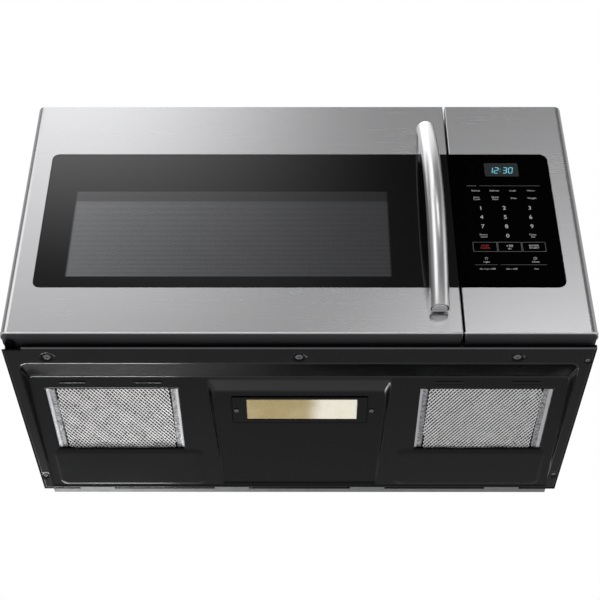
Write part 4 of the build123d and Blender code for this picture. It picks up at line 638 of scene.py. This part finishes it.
def make_pressed_pan():
    """The whole underside as one sheet: pan_height over a grid whose lines follow every opening, a
    front lip folded upwards, and a wall from Solidify."""
    exact_x = [NOTCH_X, *LENS_HOLE_X, *np.ravel(TAB_HOLES), *FILTER_X, -FILTER_X[0], -FILTER_X[1]]
    for left, right in SLOT_X:
        exact_x += [left, left + SLOT_LIP, right - SLOT_LIP, right]
    fine_x = [(-0.3715, -0.3545, 0.0013), (-0.3525, -0.3465, 0.0013), (0.3465, 0.3715, 0.0013)]
    fine_x += [(x - 0.0095, x + 0.0095, 0.0012) for x, _ in RIM_SCREWS]
    for edge, reach, step in ((0.1385, 0.003, 0.0011), (0.118, 0.008, 0.0014)):
        fine_x += [(sign * edge - reach, sign * edge + reach, step) for sign in (-1, 1)]
    xs = spaced(-CASE_HALF, CASE_HALF, 0.0048, exact_x, fine_x)
    exact_y = [*SLOT_Y, SLOT_Y[0] + SLOT_LIP, SLOT_Y[1] - SLOT_LIP, *FILTER_Y, *LENS_HOLE_Y, TAB_DEPTH,
               NOTCH_DEPTH]
    fine_y = [(0.0297, 0.0487, 0.0012), (0.051, 0.056, 0.0012), (0.1, 0.1115, 0.0011),
              (0.143, 0.149, 0.0014), (0.352, TAB_DEPTH, 0.0012)]
    ys = spaced(RIM_FRONT + 0.0015, RIM_BACK, 0.0048, exact_y, fine_y)
    grid_x, grid_y = np.meshgrid(xs, ys)
    lip_y = RIM_FRONT + np.array((0.0, 0.0, 0.0, 0.0003, 0.0008))[:, None]
    lip_z = np.array((0.0058, 0.003, 0.0012, 0.0005, 0.0001))[:, None]
    places = np.vstack([joined(xs, lip_y, lip_z), joined(grid_x, grid_y, pan_height(grid_x, grid_y))])
    faces = grid_faces(len(places), len(xs))
    x, depth = places.reshape(-1, 3)[faces].mean(1)[:, :2].T
    gone = (x < NOTCH_X) & (depth < NOTCH_DEPTH)
    gone |= within(np.abs(x), FILTER_X) & within(depth, FILTER_Y)
    gone |= within(x, LENS_HOLE_X) & within(depth, LENS_HOLE_Y)
    for hole in TAB_HOLES:
        gone |= within(x, hole) & (depth > TAB_DEPTH)
    places[..., 1] += FACE_Y
    used, numbers = np.unique(faces[~gone][:, ::-1], return_inverse=True)
    pan = piece("pressed_pan", places.reshape(-1, 3)[used], numbers.reshape(-1, 4), black_paint, "cabinet")
    thicken(pan, PAN_WALL, -1.0)
    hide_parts("base_pan")


# ---- sloping floors, each with the depth and height where it starts and its angle

MAIN = (FLOOR_FRONT, FLOOR_RISE, math.atan(MAIN_SLOPE))
POCKET = (POCKET_FLOOR, POCKET_RISE, math.atan(POCKET_SLOPE))


def down_slope(floor, depth):
    """Run along a floor to a depth."""
    return (depth - floor[0]) / math.cos(floor[2])


def on_slope(floor, x, run, lift):
    """From measures on a sloping floor (across, down the slope, above it) to the part's frame."""
    start, rise, angle = floor
    depth = start + run * math.cos(angle) + lift * math.sin(angle)
    return joined(x, depth + FACE_Y, rise - run * math.sin(angle) + lift * math.cos(angle))


# ---- filters

# Each layer's lift, lattice pitches, turn, and widths of the bars of its two families.
LAYERS = ((0.003, (0.0053, 0.0088), 0.02, (0.0017, 0.0008)),
          (0.0064, (0.0058, 0.0096), 0.1, (0.0004, 0.0004)))
MESH_REACH, BAR_THICKNESS, BAR_LEAN = 0.13, 0.0003, 0.1
MESH_RUN = (down_slope(MAIN, FILTER_Y[0] - 0.0015), down_slope(MAIN, FILTER_Y[1] + 0.0045))
MESH_X = (FILTER_X[0] + 0.0105, FILTER_X[1] - 0.0127)
CHANNEL_OUT, CHANNEL_IN, CHANNEL_LIFT, CHANNEL_WALL = 0.0146, 0.0006, 0.0037, 0.0006


def mesh_layer(name, x_limits, layer, side, seed, body):
    """One layer of expanded metal: two families of short bars between the nodes of a diamond lattice
    that is turned a little, with its height pressed up and down by a smooth sum of waves. The bars of
    one family lean one way and those of the other lean the other way."""
    lift, pitch, turn, width = layer
    turn *= side
    random = np.random.default_rng(seed)
    i, j = np.meshgrid(*(np.arange(int(4 * MESH_REACH / step)) for step in pitch), indexing="ij")
    keep = (i + j) % 2 == 0
    i, j = i[keep], j[keep]

    def lattice(a, b):
        u, v = a * pitch[0] / 2 - MESH_REACH, b * pitch[1] / 2 - MESH_REACH
        x = u * math.cos(turn) - v * math.sin(turn) + sum(x_limits) / 2
        run = u * math.sin(turn) + v * math.cos(turn) + sum(MESH_RUN) / 2
        wave = np.sin(x * 160 + seed) * np.sin(run * 130 + 2 * seed) + 0.6 * np.sin(x * 71 - run * 93 + seed)
        return joined(x, run, lift + 0.00035 * wave)

    bars, leans, widths = [], [], []
    for family in (1, -1):
        bars.append(np.stack([lattice(i, j), lattice(i + 1, j + family)]))
        leans.append(BAR_LEAN * family + random.normal(0.0, 0.14, len(i)))
        widths.append(width[0 if family * turn < 0 else 1] * random.normal(1.0, 0.1, len(i)))
    bars = np.hstack(bars)
    inside = (within(bars[..., 0], x_limits) & within(bars[..., 1], MESH_RUN)).all(0)
    places, faces = strips(bars[0, inside], bars[1, inside], np.hstack(widths)[inside, None],
                           BAR_THICKNESS, np.hstack(leans)[inside])
    piece(name, on_slope(MAIN, *places.T), faces, mesh_aluminium, body, smooth=False)


def make_filter(label, side, first_seed):
    """Layers of expanded metal between folded channels at the filter's two ends. Across a channel the
    sheet bulges by the root of one less a sixth power, steps down at its fold, and is creased by a sine
    on its inner half."""
    body = label + "_filter"
    mesh_x = MESH_X if side > 0 else (-MESH_X[1], -MESH_X[0])
    for number, layer in enumerate(LAYERS):
        mesh_layer("%s_mesh_layer_%d" % (label, number + 1), mesh_x, layer, side, first_seed + number, body)
    u, v = np.meshgrid(np.linspace(*MESH_RUN, 60), np.linspace(0.0, 1.0, 14), indexing="ij")
    bulge = 0.001 * np.sqrt(np.clip(1.0 - (2.0 * v - 1.0) ** 6, 0.0, 1.0))
    crease = 0.0003 * np.sin(u * 900 + 3 * np.sin(v * 9)) * eased(v, 0.5, 0.75)
    lift = CHANNEL_LIFT - bulge - crease - 0.0006 * eased(v, 0.58, 0.46)
    for end, inward in ((0, 1), (1, -1)):
        x = mesh_x[end] + inward * ((CHANNEL_OUT + CHANNEL_IN) * v - CHANNEL_OUT)
        strip = piece("%s_filter_channel_%d" % (label, end + 1), on_slope(MAIN, x, u, lift),
                      grid_faces(60, 14)[:, ::inward], channel_aluminium, body)
        thicken(strip, CHANNEL_WALL, 0.0)


# ---- handle

GRIP_X, GRIP_WIDTH, GRIP_DEPTH, GRIP_CORNER = 0.179, 0.0248, 0.0175, 0.0026
GRIP_LOW, GRIP_HIGH, GRIP_BOW, GRIP_REACH = 0.041, 0.366, 0.041, 0.0618
HALF_CHORD = (GRIP_HIGH - GRIP_LOW) / 2
BOW_RADIUS = (HALF_CHORD ** 2 + GRIP_BOW ** 2) / (2 * GRIP_BOW)
BOW_TURN = math.asin(HALF_CHORD / BOW_RADIUS)
# Rings at an end of the bar, of a cap and of the dark floor: how deep in millimetres, and how large.
BAR_RINGS = ((1.6, 0.0), (1.6, 0.94), (0.2, 0.94), (0.0, 0.97), (0.6, 1.0))
CAP_RINGS = ((1.3, 0.0), (1.3, 1.0), (0.5, 1.0), (0.2, 0.98), (0.05, 0.94), (0.0, 0.5), (0.0, 0.0))
GROOVE_RINGS = ((1.5, 0.0), (1.5, 0.935), (1.1, 0.935), (1.1, 0.0))
CAP_SHRUNK = 0.0024


def grip_section(shrunk=0.0):
    """Outline of the handle: a shallow arc in front, short cheeks, and a flat back with round corners.
    Given as pairs (towards the door, across)."""
    half = GRIP_WIDTH / 2 - shrunk
    front = GRIP_DEPTH / 2 - shrunk
    height = front + GRIP_DEPTH * 0.12
    radius = (half ** 2 + height ** 2) / (2 * height)
    turn = np.linspace(-1.0, 1.0, 33) * math.asin(half / radius)
    arc = joined(radius - front - radius * np.cos(turn), radius * np.sin(turn))
    quarter = np.linspace(0.0, math.pi / 2, 8)
    right = (joined(np.sin(quarter), np.cos(quarter)) - 1.0) * GRIP_CORNER + (front, half)
    return np.vstack([arc, right, right[::-1] * (1.0, -1.0)])


def end_rings(side, rings):
    """Turns and sizes of the rings at the lower end, or at the upper one with side 1."""
    depth, grow = np.array(rings).T
    return side * (BOW_TURN - depth * 0.001 / BOW_RADIUS), grow


def grip_places(section, turns, grow):
    """Section carried along a circular bow. In the middle it stands square to the bow. Towards each end
    it turns level, by an eased share of the bow's own turn, and deepens by one over the cosine of what
    it has turned, so that the bar stays as thick."""
    turns, grow = turns[:, None], grow[:, None]
    crown = GRIP_DEPTH / 2 - GRIP_REACH
    tilt = turns * (1.0 - 0.75 * eased(np.abs(turns), 0.7 * BOW_TURN, BOW_TURN))
    depth = section[:, 0] * (grow / np.cos(turns - tilt))
    y = crown + BOW_RADIUS - BOW_RADIUS * np.cos(turns) + depth * np.cos(tilt) + FACE_Y
    z = (GRIP_LOW + GRIP_HIGH) / 2 + BOW_RADIUS * np.sin(turns) - depth * np.sin(tilt)
    return joined(GRIP_X + section[:, 1] * grow, y, z)


def make_handle():
    """Bowed bar with a shallow recess in each end, and in each recess a black floor and an inset cap, so
    that a dark ring shows round the cap. The black floor is a painted shade in the gap round the cap; the
    cap's light steel is partly its polish, partly a painted highlight."""
    section, cap = grip_section(), grip_section(CAP_SHRUNK)
    turns, grow = end_rings(-1.0, BAR_RINGS)
    clear = BOW_TURN - 0.0012 / BOW_RADIUS
    turns = np.hstack([turns, np.linspace(-clear, clear, 90), -turns[::-1]])
    grow = np.hstack([grow, np.ones(90), grow[::-1]])
    bar = tube("handle_grip", grip_places(section, turns, grow), upright_steel, "door")
    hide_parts("handle_bar")
    for side, label in ((-1.0, "low"), (1.0, "high")):
        # The groove is black plastic, a painted shade in the gap round each cap.
        tube("handle_groove_" + label, grip_places(section, *end_rings(side, GROOVE_RINGS)), black_plastic,
             "door")
    caps = np.vstack([grip_places(cap, *end_rings(side, CAP_RINGS)) for side in (-1, 1)])
    faces = grid_faces(len(CAP_RINGS), len(cap), True)
    tips = piece("handle_tips", caps, np.vstack([faces, faces + len(CAP_RINGS) * len(cap)]), tip_highlight_steel,
                 "door")
    weld(tips)
    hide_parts("handle_end_caps")


# ---- latch spring

LATCH_LIFT, COIL_RADIUS, COIL_WIRE, COIL_TURNS = 0.004, 0.0034, 0.00045, 7


def make_latch_coil():
    """Spring over the latch key: a circle of eight points carried along a helix and drawn to a point at each
    end."""
    low, high = (np.array(corner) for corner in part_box("latch_spring"))
    share = np.linspace(0.0, 1.0, 24 * COIL_TURNS + 1)
    share = np.hstack([share[:1], share, share[-1:]])[:, None]
    wire = np.full(share.shape, COIL_WIRE)
    wire[[0, -1]] = 0.0
    angle = math.tau * COIL_TURNS * share
    ring = np.linspace(0.0, math.tau, 9)[:-1]
    reach = COIL_RADIUS + wire * np.cos(ring)
    middle = (low + high) / 2
    rise = low[2] + COIL_WIRE + (high[2] - low[2] - 2 * COIL_WIRE) * share
    places = joined(middle[0] + reach * np.cos(angle), middle[1] + reach * np.sin(angle),
                    rise + wire * np.sin(ring))
    coil = tube("latch_coil", places, screw_steel, "door")
    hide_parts("latch_spring")
    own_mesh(coil)


# ---- rolled lower edges of the two skins

LIPS = (("door_lip", -0.3792, 0.2052, "door"), ("panel_lip", 0.2086, 0.3782, "cabinet"))
LIP_RADIUS, LIP_DEPTH, LIP_Z = 0.0008, 0.0004, 0.0107


def make_rolled_lips():
    """Bead along the lower edge of each skin: a circle of points carried along X, drawn to a point at
    each end."""
    turn = np.linspace(0.0, math.tau, 13)[:-1]
    radius = LIP_RADIUS * np.array([0.0] + [1.0] * 40 + [0.0])[:, None]
    for name, left, right, body in LIPS:
        x = np.hstack([[left], np.linspace(left + 0.0002, right - 0.0002, 40), [right]])[:, None]
        places = joined(x, FACE_Y + LIP_DEPTH + radius * np.cos(turn), LIP_Z + radius * np.sin(turn))
        # The beads are in the lighter steel, a painted highlight.
        tube(name, places, lip_highlight_steel, body)


# ---- printed control panel

PRINT_Y = FACE_Y + 0.00034      # just proud of the glass
# Heights of letters, heights of lines, and each line's words with their centres.
WHITE_WORDS = {
    0.0068: {0.2216: (("1", 0.247), ("2", 0.279), ("3", 0.3137)),
             0.2051: (("4", 0.247), ("5", 0.279), ("6", 0.3132)),
             0.1885: (("7", 0.247), ("8", 0.279), ("9", 0.3132)),
             0.1717: (("0", 0.279),)},
    0.0029: {0.2536: (("Reheat", 0.2427), ("Defrost", 0.2684), ("Cook", 0.2934), ("Warm", 0.3184)),
             0.2416: (("Auto", 0.2427), ("Quick", 0.2684)),
             0.2378: (("Cook", 0.2427), ("Heat", 0.2684)),
             0.2397: (("Time", 0.2934), ("Weight", 0.3184)),
             0.1739: (("Power", 0.247), ("Timer", 0.3127)),
             0.1701: (("Level", 0.247), ("Set", 0.3127)),
             0.1268: (("Clock", 0.3115), ("Light", 0.247)),
             0.1147: (("Hi / Lo / Off", 0.2472), ("On / Off", 0.2789), ("Fan", 0.3113))},
    0.0042: {0.1541: (("+30", 0.2795),)},
    0.0022: {0.1493: (("SEC", 0.2795),)},
    0.0031: {0.1546: (("ENTER", 0.3121),), 0.1506: (("START", 0.3121),)},
}
RED_WORDS = {0.0031: {0.1546: (("STOP", 0.247),), 0.1506: (("CLEAR", 0.247),)}}
TOP_RULE, LOW_RULE, KEY_Z = 0.2628, 0.1219, (0.1446, 0.1607)
CLOCK_ICON, LAMP_ICON = (0.3115, 0.1327), (0.247, 0.133)
THIN = 0.0004
# Bars of each digit by their two ends: 0 and 1 at the bottom, 2 and 3 half way up, 4 and 5 at the top.
DIGIT_BARS = {"0": "45 35 13 01 02 24", "1": "35 13", "2": "45 35 23 02 01", "3": "45 35 23 13 01"}
DIGIT_LEFT, DIGIT_Z, DIGIT_WIDTH, DIGIT_HEIGHT = 0.2632, 0.2868, 0.005, 0.0104
DIGIT_GAP, DIGIT_LEAN, DIGIT_BAR = 0.0028, 0.16, 0.001


def flat_shapes(name, outlines, ink):
    """Printed marks as one thin mesh: each outline is one quad just proud of the glass."""
    flat = np.vstack(outlines)
    piece(name, joined(flat[:, 0], PRINT_Y, flat[:, 1]), np.arange(len(flat)).reshape(-1, 4), ink, "cabinet",
          smooth=False)


def stroke(a, b, width):
    """Bar between two places with square ends, as four corners."""
    a, b = np.array((a, b), float)
    run = unit(b - a)
    side = np.array((-run[1], run[0])) * width / 2
    return np.array([a - side, b - side, b + side, a + side])


def path_strokes(path, width=THIN):
    return [stroke(a, b, width) for a, b in zip(path[:-1], path[1:])]


def arc_strokes(centre, radius, start, stop):
    turns = np.linspace(start, stop, 21)
    return path_strokes(centre + radius * joined(np.cos(turns), np.sin(turns)))


def word_mesh(text, height):
    """Places and triangles of one word, about its own centre."""
    curve = bpy.data.curves.new("line", "FONT")
    curve.body, curve.size = text, height * 1.38
    curve.align_x = curve.align_y = "CENTER"
    curve.resolution_u = 3
    curve.space_character = 1.04
    holder = linked("line", curve)
    mesh = bpy.data.meshes.new_from_object(holder.evaluated_get(bpy.context.evaluated_depsgraph_get()))
    places = np.zeros(len(mesh.vertices) * 3)
    mesh.vertices.foreach_get("co", places)
    mesh.calc_loop_triangles()
    triangles = np.zeros(len(mesh.loop_triangles) * 3, np.int32)
    mesh.loop_triangles.foreach_get("vertices", triangles)
    bpy.data.objects.remove(holder)
    bpy.data.curves.remove(curve)
    return places.reshape(-1, 3), triangles.reshape(-1, 3)


def lettering(name, words, ink):
    """Words made one mesh on the front of the glass."""
    places, faces, first = [], [], 0
    for height, lines in words.items():
        for z, line in lines.items():
            for text, x in line:
                flat, triangles = word_mesh(text, height)
                places.append(joined(flat[:, 0] + x, PRINT_Y, flat[:, 1] + z))
                faces.append(triangles + first)
                first += len(flat)
    piece(name, np.vstack(places), np.vstack(faces), ink, "cabinet", smooth=False)


def clock_strokes(text):
    """Digits of the clock: seven bars each, all leaning with height, and two dots for a colon."""
    def leaning(across, up):
        rise = up * DIGIT_HEIGHT
        return np.array((left + across * DIGIT_WIDTH + DIGIT_LEAN * rise, DIGIT_Z + rise))

    outlines, left = [], DIGIT_LEFT
    for sign in text:
        if sign == ":":
            for share in (0.28, 0.72):
                dot, half = leaning(0, share), (DIGIT_BAR / 2, 0.0)
                outlines.append(stroke(dot - half, dot + half, DIGIT_BAR))
            left += DIGIT_GAP * 1.5
            continue
        for bar in DIGIT_BARS[sign].split():
            a, b = (leaning(int(end) % 2, int(end) // 2 / 2) for end in bar)
            inset = unit(b - a) * DIGIT_BAR * 0.45
            outlines.append(stroke(a + inset, b - inset, DIGIT_BAR))
        left += DIGIT_WIDTH + DIGIT_GAP
    return outlines


def make_control_print():
    """Clock, key names, numbers, outlined keys and thin rules, printed on the glass."""
    lettering("panel_letters", WHITE_WORDS, print_white)
    lettering("panel_red_letters", RED_WORDS, print_red)
    rules = [stroke((left, z), (right, z), width) for left, right, z, width in (
        (0.248, 0.332, TOP_RULE, THIN), (0.231, 0.244, TOP_RULE, 0.0008),
        (0.231, 0.261, LOW_RULE, THIN), (0.2645, 0.326, LOW_RULE, THIN))]
    low, high = KEY_Z
    for left, right in ((0.2313, 0.2628), (0.2643, 0.2953), (0.2968, 0.3274)):
        rules += path_strokes(((left, low), (right, low), (right, high), (left, high), (left, low)), 0.0005)
    flat_shapes("panel_rules", rules, print_grey)
    x, z = CLOCK_ICON
    icons = arc_strokes(CLOCK_ICON, 0.0021, 0.0, math.tau)
    icons += [stroke((x, z), (x, z + 0.0014), THIN), stroke((x, z), (x + 0.0011, z), THIN)]
    x, z = LAMP_ICON
    icons += arc_strokes(LAMP_ICON, 0.0016, -0.9, math.pi + 0.9)
    icons += [stroke((x - 0.0009, z - 0.0019), (x + 0.0009, z - 0.0019), THIN)]
    flat_shapes("panel_icons", icons, print_white)
    flat_shapes("clock_digits", clock_strokes("12:30"), clock_blue)


# ---- lamp lens and the painted shade round its cover

LENS_EDGE, RIB_PITCH, RIB_HEIGHT = 0.0005, 0.0034, 0.0001
SEAM_X, SEAM_Y, SEAM_CORNER, SEAM_WIDTH = (-0.0924, 0.0934), (0.1586, 0.2149), 0.0023, 0.0011
SEAM_LIFT = (-0.00128, -0.0002)


def make_lamp_lens():
    """Moulded lens: a plate whose edge is rounded over by a smooth step, with fine ribs across its face
    that follow a cosine."""
    x = np.linspace(LENS_X[0] + LENS_EDGE, LENS_X[1] - LENS_EDGE, 180)
    run = down_slope(POCKET, np.linspace(LENS_Y[0] + LENS_EDGE, LENS_Y[1] - LENS_EDGE, 60))
    u, v = np.meshgrid(x, run, indexing="ij")
    edge = np.minimum.reduce([u - x[0], x[-1] - u, v - run[0], run[-1] - v])
    ribs = RIB_HEIGHT * np.cos(u * math.tau / RIB_PITCH) * eased(edge, 0.001, 0.003)
    places = on_slope(POCKET, u, v, -0.0008 * eased(edge, 0.0, 0.0016) - ribs)
    lens = piece("lamp_prism", places, grid_faces(180, 60), lens_painted_glow, "cabinet")
    thicken(lens, 0.0012, -1.0)
    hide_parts("lamp_lens")


def make_cover_gap_shade():
    """Dark strip round the lamp's cover, a painted shade in the gap at the cover's edge: an oblong section
    carried round a rectangle with round corners, against the cover's edge."""
    run = [down_slope(POCKET, depth) for depth in SEAM_Y]
    reach = SEAM_CORNER + np.array((-0.5, 0.5, 0.5, -0.5)) * SEAM_WIDTH
    lift = np.repeat(SEAM_LIFT, 2)
    rings = []
    for number, (a, b) in enumerate(((1, 1), (0, 1), (0, 0), (1, 0))):
        turn = (np.linspace(0.0, math.pi / 2, 7) + number * math.pi / 2)[:, None]
        rings.append(on_slope(POCKET, SEAM_X[a] + SEAM_CORNER * (1 - 2 * a) + reach * np.cos(turn),
                              run[b] + SEAM_CORNER * (1 - 2 * b) + reach * np.sin(turn), lift))
    places = np.vstack([*rings, rings[0][:1]])
    # Painted shade: the strip is near black where there is only a gap.
    tube("lamp_cover_gap_shade", places, panel_black, "cabinet", smooth=False)


make_pressed_pan()
make_filter("left", -1.0, 11)
make_filter("right", 1.0, 16)
make_handle()
make_rolled_lips()
make_latch_coil()
make_control_print()
make_lamp_lens()
make_cover_gap_shade()

# ---- floor, light and camera

FLOOR_Z, FLOOR_REACH = -1.3, 7.0
CAMERA_PLACE, CAMERA_LENS = (0.0042, -1.4848, -0.9635), 78.066
PITCH, YAW, ROLL = (math.radians(angle) for angle in (37.81, -0.134, 0.098))


def make_floor():
    """Plain pale floor."""
    paint = Paint("floor", Roughness=0.8)
    mesh = bpy.data.meshes.new("floor")
    corners = [(x * FLOOR_REACH, y * FLOOR_REACH, FLOOR_Z) for x, y in ((-1, -1), (1, -1), (1, 1), (-1, 1))]
    mesh.from_pydata(corners, [], [(0, 1, 2, 3)])
    mesh.materials.append(paint.finish(paint.mix(paint.noise(0.6), (0.74,) * 3, (0.78,) * 3)))
    floor = linked("floor", mesh)


def make_world():
    """Light that comes from all round and differs by direction. The camera sees plain white."""
    scene = bpy.context.scene
    scene.view_settings.view_transform = "Standard"
    scene.world = bpy.data.worlds.new("studio")
    scene.world.use_nodes = True
    nodes = Nodes(scene.world.node_tree)
    nodes.place = nodes.out("Generated", "TexCoord")
    x, y, z = nodes.axes()
    # In front, by bearing from straight ahead: bright to the upper left and dim to the upper right, a low
    # bright patch on the right, a tall bright panel further left, and a dim wall further right.
    bearing = nodes.math("ARCTAN2", x, y * -1.0)
    upper = bearing.eased(-0.29, 0.12, 2.85, 0.07)
    lower = bearing.eased(-0.05, 0.1, 0.26, 0.12)
    patch = bearing.eased(0.0, 0.16, 0.0, 3.7) * z.eased(0.5, 0.59, 1.0, 0.0) * z.eased(0.3, 0.42)
    ahead = z.eased(0.605, 0.73).between(lower, upper) + patch
    left_wall = bearing.eased(-1.05, -0.8, 0.22, 1.9) * z.eased(0.4, 0.75, 1.0, 0.75)
    ahead = bearing.eased(-0.42, -0.33, 1.0, 0.0).between(ahead, left_wall)
    right_wall = bearing.eased(0.95, 1.2, 0.0, 1.2) * z.eased(0.35, 0.65, 1.0, 0.0) + 0.17
    ahead = bearing.eased(0.34, 0.46).between(ahead, right_wall)
    # Behind: a light low on the left, nothing low on the right.
    behind = x.eased(-0.14, 0.03, 0.5, 0.0) * x.eased(-0.5, -0.34, 0.2, 1.0)
    behind = z.eased(0.1, 0.6).between(behind, 0.6)
    level = y.eased(-0.25, 0.15).between(ahead, behind)
    level = z.eased(0.8, 0.95).between(level, 1.25)
    seen = nodes.out("Is Camera Ray", "LightPath")
    nodes.feed(nodes.tree.nodes["Background"], Strength=level * (1.0 - seen) + seen, Color=(1.0,) * 4)


def set_pose(held, side, over, away, place):
    """World matrix from three directions and a place."""
    rows = np.vstack([np.column_stack([side, over, away, place]), (0.0, 0.0, 0.0, 1.0)])
    held.matrix_world = mathutils.Matrix(rows.tolist())


def soft_box(name, place, aim, size, power, spread=180.0):
    """Rectangular light that faces a point, with a grid that keeps it within a spread in degrees."""
    lamp = bpy.data.lights.new(name, "AREA")
    lamp.shape = "RECTANGLE"
    lamp.size, lamp.size_y = size
    lamp.energy = power
    lamp.spread = math.radians(spread)
    away = unit(np.subtract(place, aim))
    side = unit(np.cross((0, 0, 1), away))
    set_pose(linked(name, lamp), side, np.cross(away, side), away, place)


def make_camera():
    """Camera of the photograph: below the part and in front of it, looking up."""
    level = math.cos(PITCH)
    forward = np.array((math.sin(YAW) * level, math.cos(YAW) * level, math.sin(PITCH)))
    right = np.array((math.cos(YAW), -math.sin(YAW), 0.0))
    turned = right * math.cos(ROLL) + np.cross(right, forward) * math.sin(ROLL)
    data = bpy.data.cameras.new("camera")
    data.lens = CAMERA_LENS
    data.sensor_width = 36.0
    data.clip_end = 50.0
    holder = linked("camera", data)
    set_pose(holder, turned, np.cross(turned, forward), -forward, CAMERA_PLACE)
    bpy.context.scene.camera = holder


make_floor()
make_world()
soft_box("overhead", (-0.6, 0.4, 2.6), (0.0, 0.0, 0.2), (2.2, 2.2), 17.0)
soft_box("low_back_strip", (-1.00, 2.6, -0.85), (-0.68, 0.1, 0.0), (1.1, 0.1), 1.1, 50.0)
make_camera()
